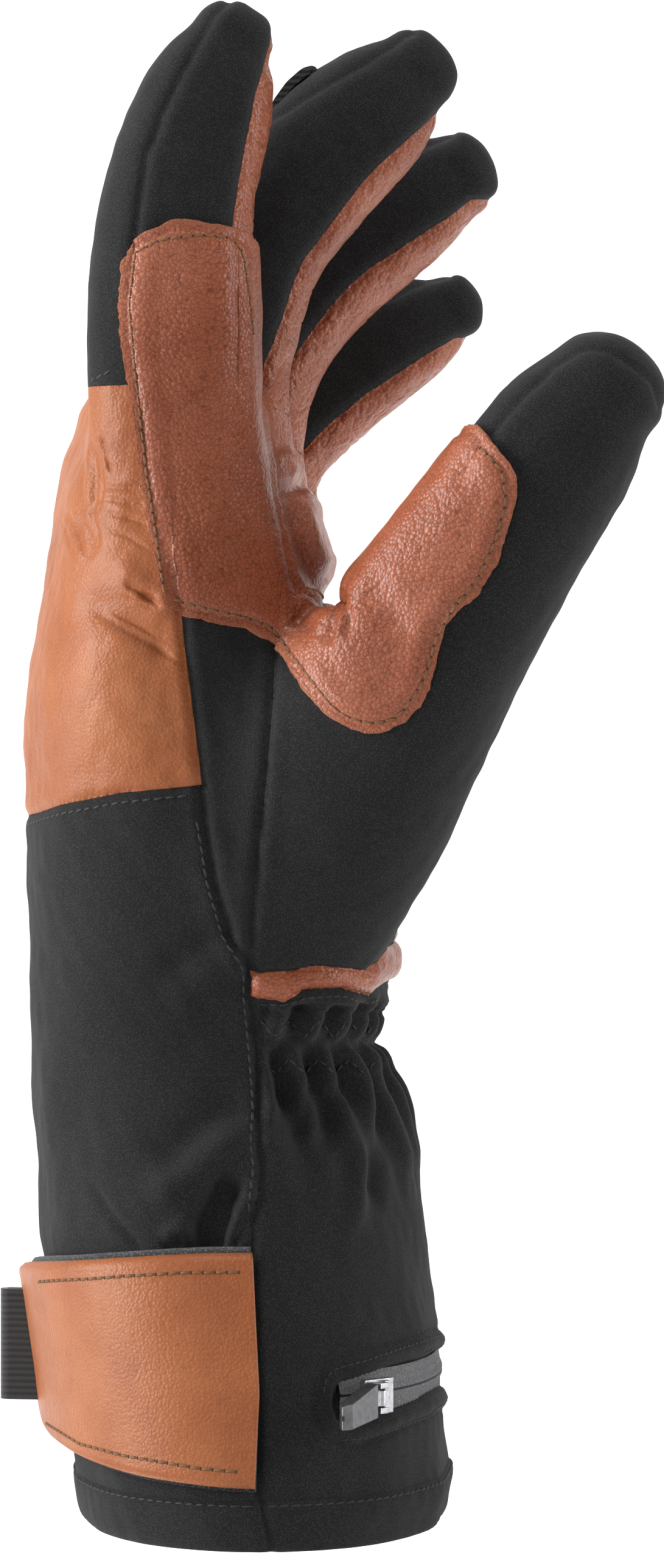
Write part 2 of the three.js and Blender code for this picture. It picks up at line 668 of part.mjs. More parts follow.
const raised = handTube(band_proud, turns, table_ups, foldAt, 0).subtract(hollow);
const band = raised.subtract(backOf(half)).subtract(aboveLine(band_top, -half));
pieces.push(node('wrist_band', band.intersect(aboveLine(band_low, half)), paint.brown));

const palm_turns = Array.from({ length: gather_count * 2 }, (_, k) => -90 + 90 * k / gather_count);
const cuff_turns = [...Array.from({ length: 12 }, (_, k) => -270 + 15 * k), ...palm_turns];
const gathered = handTube(0, cuff_turns, table_ups, gatherAt, 0).subtract(hollow);
const cuff = gathered.subtract(backOf(half)).subtract(aboveLine(band_low, -half));
pieces.push(node('cuff_panel', cuff.intersect(block(-far, far, -far, far, hem_height + gap, high)), paint.cloth));

const rim = handTube(hem_proud, turns, table_ups, foldAt, 0).subtract(hollow);
pieces.push(node('hem_band', rim.intersect(block(-far, far, -far, far, -1, hem_height)), paint.cloth));

// Patch over the fork
const patch_points = patch_outline.map((row) => ({
  x: patch_root.forward * hand_thickness + row.forward * patch_width,
  z: patch_root.up * hand_height + row.up * patch_height,
}));
const over = whole(gap + patch_thickness, turns, fine_ups, foldAt, 12, 0);
const under = whole(gap, turns, fine_ups, foldAt, 12, 0);
const index_side = roots.index.side * hand_width;
const patch_zone = prism(patch_points.reverse(), -far, index_side + patch_reach);
pieces.push(node('fork_patch', over.subtract(under).intersect(patch_zone), paint.brown));

// Ribbons that lie on the cuff
function ribbon(rows, low, tall, start, thickness, lift, across) {
  const grid = (offset) => rows.map((row) => {
    const from = low + (row.low ?? 0) * tall;
    const to = low + (row.high ?? 1) * tall;
    return Array.from({ length: across + 1 }, (_, k) => {
      const z = from + (to - from) * k / across;
      const out = offset + (row.lift ?? 0) * lift + foldAt(z / hand_height, row.turn);
      return handPoint(z / hand_height, row.turn, out);
    });
  });
  return sheet(grid(start + thickness), grid(start));
}

const strap_low = hem_height + gap + backing_margin;
const backing_start = hem_proud + gap;
const strap_start = backing_start + backing_thickness + gap;
const backing_low = strap_low - backing_margin;
const backing_tall = strap_height + 2 * backing_margin;
const backing_rows = strap_rows.slice(0, 9).map((row) => ({ ...row, low: row.low * 0.9 }));
const backing = ribbon(backing_rows, backing_low, backing_tall, backing_start, backing_thickness, strap_lift, 5);
pieces.push(node('strap_backing', backing, paint.webbing));
const strap = ribbon(strap_rows, strap_low, strap_height, strap_start, strap_thickness, strap_lift, 5);
pieces.push(node('strap', strap, paint.tan));

// Folded webbing tab at the end of the strap
const tab_up = (strap_low + strap_height * 0.50) / hand_height;
const tab_base = handPoint(tab_up, -171, backing_start + backing_thickness + strap_lift * 0.8 + gap);
const tab_ring = new THREE.Shape();
const tab_r = tab_thickness / 2;
tab_ring.moveTo(0, -tab_r);
tab_ring.lineTo(tab_length - tab_r, -tab_r);
tab_ring.absarc(tab_length - tab_r, 0, tab_r, -Math.PI / 2, Math.PI / 2, false);
tab_ring.lineTo(0, tab_r);
tab_ring.closePath();
const tab_slot = new THREE.Path();
tab_slot.moveTo(webbing * 2, -tab_r + webbing);
tab_slot.absarc(tab_length - tab_r, 0, tab_r - webbing, -Math.PI / 2, Math.PI / 2, false);
tab_slot.lineTo(webbing * 2, tab_r - webbing);
tab_slot.closePath();
tab_ring.holes.push(tab_slot);
const tab_body = new THREE.ExtrudeGeometry(tab_ring, { depth: tab_height, bevelEnabled: false, curveSegments: 8 });
tab_body.translate(0, 0, -tab_height / 2);
tab_body.rotateZ(rad(122));
tab_body.translate(tab_base.x - tab_r, tab_base.y + gap, tab_base.z);
const tab_keep = ribbon(
  strap_rows, strap_low - gap, strap_height + 2 * gap, strap_start - gap, strap_thickness + 2 * gap, strap_lift, 5,
);
pieces.push(node('strap_tab', solid(tab_body).subtract(tab_keep), paint.webbing));

// Zip round the palm of the cuff
const zip_rows = Array.from({ length: 17 }, (_, k) => ({ turn: zip_start + (zip_end - zip_start) * k / 16 }));
const zip_turn = zip_start + slider_turn;
const tape = ribbon(zip_rows, zip_rise - tape_height / 2, tape_height, gap, tape_thickness, 0, 2);
pieces.push(node('zip_tape', tape, paint.tape));
const teeth_start = gap + tape_thickness + gap;
const teeth_rows = zip_rows.filter((row) => row.turn > zip_start + teeth_turn);
const zip_up = zip_rise / hand_height;
const slider_reach = slider_length / 2;
teeth_rows.unshift({ turn: zip_start + teeth_turn });
const teeth = ribbon(teeth_rows, zip_rise - teeth_height / 2, teeth_height, teeth_start, teeth_thickness, 0, 1);
pieces.push(node('zip_teeth', teeth, paint.dark));

// Slider and puller, built flat with X along the zip, Y away from the cuff
const slider_at = handPoint(zip_up, zip_turn, teeth_start);
const ahead = handPoint(zip_up, zip_turn + 3, teeth_start);
const behind = handPoint(zip_up, zip_turn - 3, teeth_start);
const facing = Math.atan2(ahead.y - behind.y, ahead.x - behind.x);
const seat = new THREE.Group();
seat.position.copy(slider_at);
seat.rotation.z = facing;

const pin_rise = slider_thickness + barrel_radius + hinge_play;
const lug_inner = puller_height / 2 + hinge_play;
const lug_outer = lug_inner + lug_thickness;
function upright(radius, height, sides) {
  const geometry = new THREE.CylinderGeometry(radius, radius, height, sides);
  geometry.rotateX(Math.PI / 2);
  return solid(geometry);
}
const pin_x = -slider_reach * 0.45;
const plate = block(-slider_reach, slider_reach, -slider_thickness, 0, -slider_height / 2, slider_height / 2);
const lug = (side) => {
  const z0 = side > 0 ? lug_inner : -lug_outer;
  const post = block(
    pin_x - barrel_radius, pin_x + barrel_radius, -pin_rise, -slider_thickness / 2, z0, z0 + lug_thickness,
  );
  const round = upright(barrel_radius, lug_thickness, 12).translate([pin_x, -pin_rise, z0 + lug_thickness / 2]);
  return post.add(round);
};
const pin = upright(pin_radius, 2 * lug_outer, 12).translate([pin_x, -pin_rise, 0]);
const wide_plate = block(
  pin_x - barrel_radius, pin_x + barrel_radius, -slider_thickness, 0, -lug_outer, lug_outer,
);
const slider_body = plate.add(wide_plate).add(lug(1)).add(lug(-1)).add(pin);
const slider = node('zip_slider', slider_body, paint.bright);
seat.add(slider);

const hinge = new THREE.Group();
hinge.position.set(pin_x, -pin_rise, 0);
hinge.rotation.z = rad(puller_rest);
const barrel = upright(barrel_radius, puller_height, 16);
const bar = block(
  -puller_length, -barrel_radius * 0.5, -puller_thickness / 2 - 0.2, barrel_radius * 0.7,
  -puller_height / 2, puller_height / 2,
);
const hole = (() => {
  const geometry = new THREE.CylinderGeometry(puller_hole / 2, puller_hole / 2, 3 * puller_thickness, 10);
  const cut = solid(geometry);
  return cut.translate([-puller_length + puller_hole * 1.6, 0, 0]);
})();
const bore = upright(pin_radius + pin_play, 2 * puller_height, 12);
const puller = node('zip_puller', barrel.add(bar).subtract(bore).subtract(hole), paint.dark);
hinge.add(puller);
seat.add(hinge);

// Webbing loop on the back of the middle fingertip
const middle_path = limbPath(limbs[1]);
const loop_row = middle_path[8];
const loop_shape = new THREE.Shape();
const foot = loop_strand * 1.4;
loop_shape.moveTo(-loop_length / 2, 0);
loop_shape.lineTo(-loop_length / 2 + foot, 0);
loop_shape.lineTo(-loop_length / 2 + foot, loop_rise - loop_strand);
loop_shape.lineTo(loop_length / 2 - foot, loop_rise - loop_strand);
loop_shape.lineTo(loop_length / 2 - foot, 0);
loop_shape.lineTo(loop_length / 2, 0);
loop_shape.quadraticCurveTo(loop_length / 2 - 0.4, loop_rise, loop_length / 2 - foot, loop_rise);
loop_shape.lineTo(-loop_length / 2 + foot, loop_rise);
loop_shape.quadraticCurveTo(-loop_length / 2 + 0.4, loop_rise, -loop_length / 2, 0);
const loop_body = new THREE.ExtrudeGeometry(loop_shape, { depth: loop_width, bevelEnabled: false, curveSegments: 4 });
loop_body.translate(0, -loop_strand * 0.5, -loop_width / 2);
const loop_frame = new THREE.Matrix4().makeBasis(
  loop_row.along,
  loop_row.front.clone().negate(),
  new THREE.Vector3().crossVectors(loop_row.along, loop_row.front.clone().negate()),
);
loop_body.applyMatrix4(loop_frame);
const loop_seat = loop_row.point.clone().addScaledVector(loop_row.front, -loop_row.thick - gap);
loop_body.translate(loop_seat.x, loop_seat.y, loop_seat.z);
const loop_keep = limbTube(limbs[1], gap, 16);
pieces.push(node('finger_loop', solid(loop_body).subtract(loop_keep), paint.webbing));

const glove = new THREE.Group();
glove.name = 'heated_glove';
glove.add(...pieces, seat);

export default glove;
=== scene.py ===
# Looks of a left-hand winter glove in cloth and leather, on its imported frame.
import json
import math

import bmesh
import bpy
import numpy as np
import openvdb
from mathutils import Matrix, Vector
from mathutils.bvhtree import BVHTree

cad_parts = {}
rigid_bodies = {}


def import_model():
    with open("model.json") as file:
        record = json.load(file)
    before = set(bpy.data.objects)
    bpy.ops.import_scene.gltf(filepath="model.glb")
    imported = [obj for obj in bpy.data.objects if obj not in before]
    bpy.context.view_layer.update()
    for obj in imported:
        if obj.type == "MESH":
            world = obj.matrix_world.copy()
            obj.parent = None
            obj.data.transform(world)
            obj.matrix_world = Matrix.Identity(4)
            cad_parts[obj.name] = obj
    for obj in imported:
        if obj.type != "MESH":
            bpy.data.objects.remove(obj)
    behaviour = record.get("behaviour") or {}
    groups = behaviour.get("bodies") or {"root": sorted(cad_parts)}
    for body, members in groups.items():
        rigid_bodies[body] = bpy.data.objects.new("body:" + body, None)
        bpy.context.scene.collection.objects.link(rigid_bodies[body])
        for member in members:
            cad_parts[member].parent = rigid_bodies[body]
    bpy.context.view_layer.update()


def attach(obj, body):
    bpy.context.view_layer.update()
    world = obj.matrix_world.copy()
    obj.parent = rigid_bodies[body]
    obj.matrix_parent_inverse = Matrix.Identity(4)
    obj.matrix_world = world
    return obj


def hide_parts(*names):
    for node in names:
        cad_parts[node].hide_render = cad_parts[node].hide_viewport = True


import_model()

# Lengths are in millimetres and picture points in pixels, unless a comment says otherwise
EYE = (13.26, -1000.0, 143.0)
FOCAL = 8333.333
CENTRE = (545.5, 1288.0)
PICTURE_HEIGHT = 2576
MM = 0.116  # millimetres to a pixel on the side that faces the camera
VOXEL = 0.85
HEM_TOP = 9.6
GATHERS_TOP = 107
ROLL_TOP = 125

# Hand tube: up, centre, half thickness, half width in mm, squareness
HAND = np.array([
    (-14, 0.6, 34.4, 55.5, 2.2), (0, 0.2, 34.9, 56, 2.2), (4.8, 0.1, 36.4, 57, 2.2),
    (14, -1.2, 36.4, 57, 2.2), (30, -2.2, 37.4, 55, 2.2), (45.9, -4.7, 37.3, 52, 2.2),
    (56, -6.2, 37.9, 49, 2.2), (70, -7.3, 37.2, 46, 2.2), (80, -9.5, 36.2, 43, 2.2),
    (87, -11.1, 34.7, 41, 2.2), (92.5, -12.2, 33.6, 40, 2.2), (98, -12.2, 34, 40, 2.2),
    (103, -10.8, 35.4, 41, 2.3), (112, -9.8, 36.2, 43, 2.3), (124.8, -11, 35.6, 46, 2.4),
    (139.2, -12.6, 34.0, 49, 2.4), (153.6, -14.5, 32.4, 51, 2.5), (165.6, -14.8, 31.0, 52, 2.6),
    (177.6, -14.5, 29.2, 52, 2.6), (189.6, -15.1, 26.8, 50.5, 2.6), (199.2, -15.6, 23.9, 48, 2.5),
    (206.4, -16, 21.9, 44, 2.4), (212, -16.2, 20.2, 40, 2.4), (222, -16, 18, 34, 2.4),
])
# Fingers: picture x, picture y, half thickness in pixels, depth mm, half width mm
LIMBS = {
    "index": [(300, 1010, 116, -34.5, 11.5), (290, 800, 134, -37, 12.6), (286, 690, 140, -38.3, 12.9),
        (283, 580, 141, -39, 12.9), (282, 480, 138, -39, 12.9), (283, 400, 131, -39, 12.9),
        (293, 320, 124, -39, 12.8), (314, 240, 121, -39, 12.6), (340, 165, 112, -39, 12.1),
        (356, 122, 103, -39, 11.4), (368, 94, 88, -39, 10.4), (379, 74, 70, -39, 9.2)],
    "middle": [(302, 1010, 135, -10, 11.5), (302, 800, 160, -11.5, 12.4), (304, 715, 158, -12, 12.5),
        (326, 625, 146, -12, 12.5), (358, 530, 133, -12, 12.5), (396, 427, 126, -12, 12.5),
        (440, 360, 121, -12, 12.5), (498, 295, 119, -12, 12.5), (557, 235, 117, -12, 12.2),
        (615, 180, 110, -12, 11.6), (650, 147, 94, -12, 10.4), (677, 123, 71, -12, 8.8)],
    "ring": [(330, 1010, 135, 13, 11.2), (340, 830, 146, 14.5, 12.2), (358, 720, 136, 14.7, 12.2),
        (388, 620, 129, 14.7, 12.2), (438, 530, 122, 14.7, 12.2), (508, 457, 116, 14.7, 12.2),
        (573, 405, 110, 14.7, 12.1), (628, 363, 107, 14.7, 11.8), (680, 327, 100, 14.7, 11.2),
        (716, 305, 86, 14.7, 10.2), (746, 291, 70, 14.7, 8.8)],
    "little": [(355, 1030, 118, 35.5, 10.4), (382, 850, 122, 39, 11.2), (405, 775, 115, 40, 11.4),
        (445, 710, 110, 40, 11.4), (510, 650, 107, 40, 11.3), (575, 600, 103, 40, 11.2),
        (636, 562, 96, 40, 11.0), (684, 537, 86, 40, 10.0), (714, 521, 71, 40, 8.8),
        (736, 509, 57, 40, 7.6)],
    "thumb": [(430, 1550, 160, -24, 15), (485, 1420, 200, -29, 19), (575, 1270, 195, -38, 19),
        (655, 1130, 178, -45, 18), (745, 990, 161, -50, 17), (825, 870, 146, -53, 16.5),
        (890, 775, 139, -55, 16), (935, 712, 133, -56, 15.5), (964, 675, 120, -57, 14.4),
        (984, 653, 105, -57, 13)],
}
# Where each finger's cloth starts: picture x, y on its centre line
HEMS = {"index": (285, 628), "middle": (330, 640), "ring": (360, 715), "little": (405, 775)}

# Seams in picture pixels, from the tip downward
STRIPS = {
    "index": [(452, 40), (446, 75), (440, 100), (423, 150), (408, 225), (402, 260), (395, 300), (388, 340),
        (384, 373), (384, 800)],
    "middle": [(760, 140), (742, 165), (700, 205), (660, 240), (620, 275), (590, 310), (560, 350),
        (535, 385), (500, 430), (480, 480), (465, 530), (435, 600), (420, 700), (410, 900)],
    "ring": [(830, 320), (805, 330), (775, 330), (740, 358), (700, 382), (650, 415), (610, 440), (575, 470),
        (540, 510), (510, 550), (475, 600), (455, 650), (440, 760), (430, 900)],
    "little": [(800, 552), (770, 557), (750, 558), (720, 573), (680, 598), (600, 650), (540, 700),
        (485, 755), (460, 800), (440, 900)],
}
BACK_SEAMS = {
    "index": [(380, 0), (375, 3), (352, 25), (325, 75), (300, 120), (265, 190), (250, 235), (240, 255),
        (235, 300), (230, 330), (225, 370), (222, 395), (218, 480)],
    "middle": [(680, 54), (665, 60), (640, 80), (600, 105), (550, 133), (520, 150), (440, 200), (380, 270)],
    "ring": [(745, 222), (700, 240), (640, 270), (560, 320)],
    "little": [(740, 453), (700, 462), (640, 490)],
    "thumb": [(760, 800), (800, 730), (810, 715), (830, 690), (850, 665), (895, 620), (910, 603),
        (955, 577), (975, 575), (1000, 580), (1025, 595), (1050, 613), (1070, 630), (1084, 670)],
}
BACK_SEAM = [(270, 600), (285, 900), (298, 1008), (303, 1060), (316, 1160), (328, 1260), (336, 1350),
    (352, 1450), (378, 1540), (410, 1590), (413, 1610), (412, 1640), (418, 1700), (428, 1820), (423, 1880),
    (428, 1920), (418, 2000), (411, 2065), (413, 2200), (422, 2440), (440, 2520), (455, 2600), (470, 2700)]
SIDE_SEAM = [(458, 900), (452, 1060), (447, 1150), (438, 1260), (425, 1380), (415, 1500), (411, 1598)]
KNUCKLE_HEM = [(-200, 1362), (43, 1340), (100, 1322), (200, 1303), (328, 1290), (420, 1282)]
GUSSET_TOP = [(200, 985), (298, 1000), (340, 1012), (400, 1022), (452, 1045), (520, 1060)]
BAND_TOP = [(300, 1600), (415, 1598), (480, 1598), (520, 1588), (600, 1594), (625, 1580), (650, 1550),
    (680, 1520)]
BAND_LOW = [(300, 1640), (418, 1640), (465, 1643), (500, 1627), (560, 1623), (605, 1636), (640, 1612),
    (690, 1590)]
THUMB_AREA = [(411, 1600), (415, 1500), (425, 1380), (438, 1260), (447, 1150), (452, 1050), (480, 1000),
    (562, 968), (575, 900), (640, 800), (800, 590), (900, 450), (1250, 450), (1250, 1700), (411, 1700)]
PATCH = [(285, 1003), (270, 985), (262, 950), (253, 900), (245, 850), (236, 800), (229, 750), (224, 700),
    (218, 660), (212, 620), (205, 590), (201, 550), (199, 495), (201, 470), (205, 430), (213, 405),
    (225, 392), (250, 378), (275, 366), (290, 361), (325, 364), (375, 374), (400, 381), (413, 402),
    (420, 425), (424, 480), (430, 610), (448, 740), (462, 830), (474, 905), (480, 945), (492, 968),
    (520, 978), (556, 968), (586, 912), (684, 785), (740, 706), (762, 704), (780, 706), (797, 705),
    (808, 725), (838, 760), (848, 780), (851, 800), (849, 820), (832, 880), (815, 930), (785, 980),
    (755, 1000), (732, 1030), (723, 1060), (715, 1100), (705, 1130), (690, 1160), (665, 1185), (640, 1198),
    (610, 1203), (575, 1195), (530, 1165), (500, 1130), (470, 1085), (452, 1060), (435, 1050), (400, 1032),
    (340, 1022), (300, 1010)]
ZIP_SLOT = [(545, 2288), (556, 2268), (575, 2260), (620, 2247), (700, 2221), (760, 2200), (760, 2262),
    (690, 2301), (615, 2331), (575, 2345), (552, 2335), (544, 2310)]
PATCH_STITCH = [
    [(270, 975), (255, 870), (240, 770), (230, 680), (220, 590), (212, 500), (222, 415), (262, 394),
     (325, 386), (375, 390), (395, 405), (402, 430), (412, 500), (418, 560)],
    [(285, 985), (340, 1000), (400, 1013), (445, 1030), (480, 1075), (525, 1135), (550, 1165), (580, 1182),
     (610, 1188), (645, 1183), (665, 1165), (700, 1110), (716, 1050), (745, 1000), (785, 950), (815, 885),
     (832, 825), (825, 775), (795, 740), (775, 728)],
]

# Folds: width, then height (minus for a crease), then picture points along it
FOLDS = [
    (3.0, -5.0, [(395, 1928), (372, 1962), (350, 2008), (338, 2062)]),
    (2.2, -2.0, [(372, 1975), (352, 2020), (346, 2075)]),
    (3.4, 2.0, [(408, 1850), (350, 1888), (295, 1936), (240, 1978)]),
    (1.5, 1.4, [(420, 1935), (392, 1985), (368, 2055)]),
    (1.0, -1.1, [(414, 1985), (392, 2025), (380, 2070)]),
    (1.0, -0.9, [(145, 1940), (175, 1985), (212, 2030), (245, 2070)]),
    (4.5, -1.6, [(410, 1795), (360, 1832), (310, 1890), (262, 1935)]),
    (1.8, 1.0, [(262, 2034), (295, 2020), (322, 2040)]),
    (1.6, -0.9, [(262, 2056), (300, 2045), (325, 2066)]),
    (3.0, -0.8, [(405, 1500), (330, 1555), (250, 1605)]),
    (3.5, 0.7, [(405, 1560), (340, 1610), (270, 1660)]),
    (2.0, -1.6, [(475, 1765), (462, 1825), (440, 1880)]),
    (1.8, -1.3, [(512, 1770), (500, 1830), (480, 1885)]),
    (2.0, -1.4, [(552, 1770), (540, 1840), (522, 1905)]),
    (2.4, 1.9, [(585, 1715), (598, 1790), (600, 1870), (588, 1960), (570, 2045)]),
    (2.6, -2.0, [(610, 1740), (620, 1820), (617, 1900), (604, 2000)]),
    (2.2, 0.9, [(545, 1790), (560, 1840), (556, 1920)]),
    (2.4, 0.9, [(632, 1760), (660, 1830), (676, 1930)]),
    (1.8, 1.0, [(455, 1800), (442, 1850), (434, 1900)]),
    (3.5, -1.3, [(120, 985), (180, 1000), (240, 1035), (300, 1070)]),
    (3.0, 1.2, [(185, 925), (230, 960), (285, 1010)]),
    (1.2, -0.7, [(205, 955), (235, 968), (262, 985)]),
    (1.0, -0.5, [(230, 975), (250, 990), (268, 1000)]),
    (0.9, -0.45, [(125, 850), (140, 885), (152, 925)]),
    (0.9, -0.45, [(142, 820), (150, 870), (163, 915)]),
    (0.9, -0.4, [(108, 830), (122, 872), (134, 905)]),
    (0.9, -0.35, [(200, 800), (222, 806), (238, 802)]),
    (0.9, -0.35, [(200, 826), (220, 834), (240, 832)]),
    (0.9, -0.35, [(196, 850), (220, 856), (246, 870)]),
    (1.0, -0.35, [(160, 740), (158, 790), (160, 830)]),
    (2.6, 0.8, [(110, 720), (112, 800), (108, 880)]),
    (3.0, 2.4, [(486, 800), (505, 850), (522, 905), (538, 955)]),
    (1.3, -1.8, [(468, 800), (484, 860), (500, 920), (520, 965)]),
    (1.6, 1.6, [(450, 742), (470, 762), (482, 790)]),
    (1.0, -1.4, [(448, 800), (475, 806), (505, 795)]),
    (2.2, -3.0, [(530, 965), (556, 984), (580, 985)]),
    (1.0, -0.8, [(505, 840), (520, 880), (540, 930)]),
]
KNUCKLE_FOLDS = [
    (0.5, -0.45, [(116, 838), (128, 880), (141, 918)]),
    (0.5, -0.4, [(130, 832), (141, 872), (153, 905)]),
    (0.5, -0.35, [(102, 850), (114, 885), (124, 915)]),
    (0.5, -0.35, [(143, 822), (153, 858), (163, 890)]),
    (0.5, -0.4, [(162, 800), (200, 802), (240, 797)]),
    (0.5, -0.4, [(165, 818), (200, 824), (243, 826)]),
    (0.5, -0.35, [(168, 842), (200, 848), (246, 862)]),
    (0.45, -0.35, [(175, 870), (205, 880), (248, 905)]),
    (0.6, -0.6, [(152, 715), (154, 780), (152, 850)]),
    (0.5, -0.4, [(163, 730), (166, 790), (160, 850)]),
    (0.45, -0.3, [(141, 720), (140, 780), (137, 830)]),
    (0.6, 0.4, [(147, 700), (147, 780), (144, 860)]),
    (0.6, -0.5, [(203, 958), (230, 972), (262, 992)]),
    (0.5, -0.45, [(222, 968), (245, 985), (268, 1000)]),
    (0.5, -0.4, [(196, 978), (228, 992), (262, 1004)]),
    (0.7, -0.5, [(150, 1003), (200, 1032), (255, 1062), (300, 1092)]),
    (0.6, -0.4, [(170, 1000), (215, 1022), (262, 1048)]),
    (0.6, -0.35, [(230, 1195), (265, 1192), (302, 1188)]),
    (0.4, -0.8, [(164, 712), (170, 742), (183, 780)]),
]
PATCH_FOLDS = [
    (1.3, -1.3, [(560, 975), (520, 1000), (470, 1040)]),
    (1.0, -1.1, [(562, 985), (535, 1015), (505, 1045)]),
    (1.1, -1.2, [(566, 990), (555, 1030), (540, 1065)]),
    (0.9, -0.9, [(575, 985), (580, 1020), (572, 1050)]),
    (1.2, 0.9, [(560, 980), (542, 1008), (515, 1040)]),
    (1.2, 0.8, [(570, 985), (567, 1020), (556, 1055)]),
    (3.5, -0.8, [(600, 960), (640, 1000), (650, 1050)]),
    (3.0, 0.5, [(500, 970), (470, 930), (462, 860)]),
    (5.0, -0.5, [(440, 500), (450, 700), (465, 880)]),
]


def project(p):
    """Places in mm to picture points."""
    scale = FOCAL / (p[..., 1] - EYE[1])
    px = CENTRE[0] + (p[..., 0] - EYE[0]) * scale
    py = CENTRE[1] - (p[..., 2] - EYE[2]) * scale
    return np.stack([px, py], -1)


def place(px, py, depth):
    """Picture points to places at a depth along Y."""
    scale = (depth - EYE[1]) / FOCAL
    return np.stack([EYE[0] + (px - CENTRE[0]) * scale, depth, EYE[2] - (py - CENTRE[1]) * scale], -1)


def bell(x, width):
    return np.exp(-(x / width) ** 2)


def path_lengths(points):
    """How far along its path each point lies."""
    return np.concatenate([[0], np.cumsum(np.linalg.norm(np.diff(points, axis=0), axis=1))])


def smooth_line(points, count, rounds=3):
    pts = np.asarray(points, float)
    at = path_lengths(pts[:, :3])
    t = np.linspace(0, at[-1], count)
    out = np.stack([np.interp(t, at, pts[:, k]) for k in range(pts.shape[1])], 1)
    for _ in range(rounds):
        out[1:-1] = (out[:-2] + out[1:-1] * 2 + out[2:]) / 4
    return out


class Limb:
    """A finger: a squarish tube along a smooth centre line."""

    def __init__(self, rows):
        rows = np.array(rows, float)
        pos = place(rows[:, 0], rows[:, 1], rows[:, 3])
        thick = rows[:, 2] * (rows[:, 3] - EYE[1]) / FOCAL
        line = smooth_line(np.column_stack([pos, thick, rows[:, 4]]), 64, 6)
        self.p, self.thick, self.wide = line[:, :3], line[:, 3], line[:, 4]
        along = np.gradient(self.p, axis=0)
        self.along = along / np.linalg.norm(along, axis=1)[:, None]
        front = np.stack([self.along[:, 2], 0 * self.thick, -self.along[:, 0]], 1)
        self.front = front / np.linalg.norm(front, axis=1)[:, None]
        self.side = np.cross(self.along, self.front)
        self.step = np.linalg.norm(np.diff(self.p, axis=0), axis=1).mean()
        reach = self.thick.max() + 8
        self.low, self.high = self.p.min(0) - reach, self.p.max(0) + reach

    def locate(self, q):
        """The station nearest to each point, with its fraction."""
        t = np.empty(len(q), np.float32)
        batch = 200000
        for a in range(0, len(q), batch):
            part = q[a:a + batch]
            d = (part ** 2).sum(1)[:, None] - 2 * part @ self.p.T + (self.p ** 2).sum(1)[None]
            i = d.argmin(1)
            back = ((part - self.p[i]) * self.along[i]).sum(1) / self.step
            t[a:a + batch] = np.clip(i + np.clip(back, -1, 1), 0, len(self.p) - 1)
        return t

    def mix(self, values, t):
        i = np.minimum(t.astype(int), len(self.p) - 2)
        f = t - i
        if values.ndim > 1:
            f = f[:, None]
        return values[i] * (1 - f) + values[i + 1] * f

    def distance(self, q, power=2.3):
        t = self.locate(q)
        d = q - self.mix(self.p, t)
        thick, wide = self.mix(self.thick, t), self.mix(self.wide, t)
        u = (d * self.mix(self.front, t)).sum(1)
        v = (d * self.mix(self.side, t)).sum(1)
        w = (d * self.mix(self.along, t)).sum(1)
        cap = np.minimum(thick, wide)
        f = sum(np.abs(d) ** power for d in (u / thick, v / wide, w / cap)) ** (1 / power)
        r = np.sqrt(u * u + v * v + w * w)
        return np.where(f > 1e-3, r * (1 - 1 / np.maximum(f, 1e-3)), -cap).astype(np.float32)


limbs = {name: Limb(rows) for name, rows in LIMBS.items()}


def hand_rows(z):
    return [np.interp(z, HAND[:, 0], HAND[:, k]) for k in range(1, 5)]


def hand_distance(q):
    centre, thick, wide, power = hand_rows(q[:, 2])
    x, y = q[:, 0] - centre, q[:, 1]
    f = (np.abs(x / thick) ** power + np.abs(y / wide) ** power) ** (1 / power)
    r = np.hypot(x, y)
    d = r * (1 - 1 / np.maximum(f, 1e-3))
    return np.maximum(d, q[:, 2] - 219 + 0.13 * (q[:, 1] + 35)).astype(np.float32)


def hand_point(z, turn, out):
    """A point round the hand tube, some way out from its surface."""
    centre, thick, wide, power = hand_rows(z)
    c, s = np.cos(np.radians(turn)), np.sin(np.radians(turn))
    x = centre + (thick + out) * np.sign(c) * np.abs(c) ** (2 / power)
    y = (wide + out) * np.sign(s) * np.abs(s) ** (2 / power)
    return np.stack([x, y, z + 0 * x], -1)


def soft_min(a, b, k):
    h = np.clip(0.5 + 0.5 * (b - a) / k, 0, 1)
    return b * (1 - h) + a * h - k * h * (1 - h)


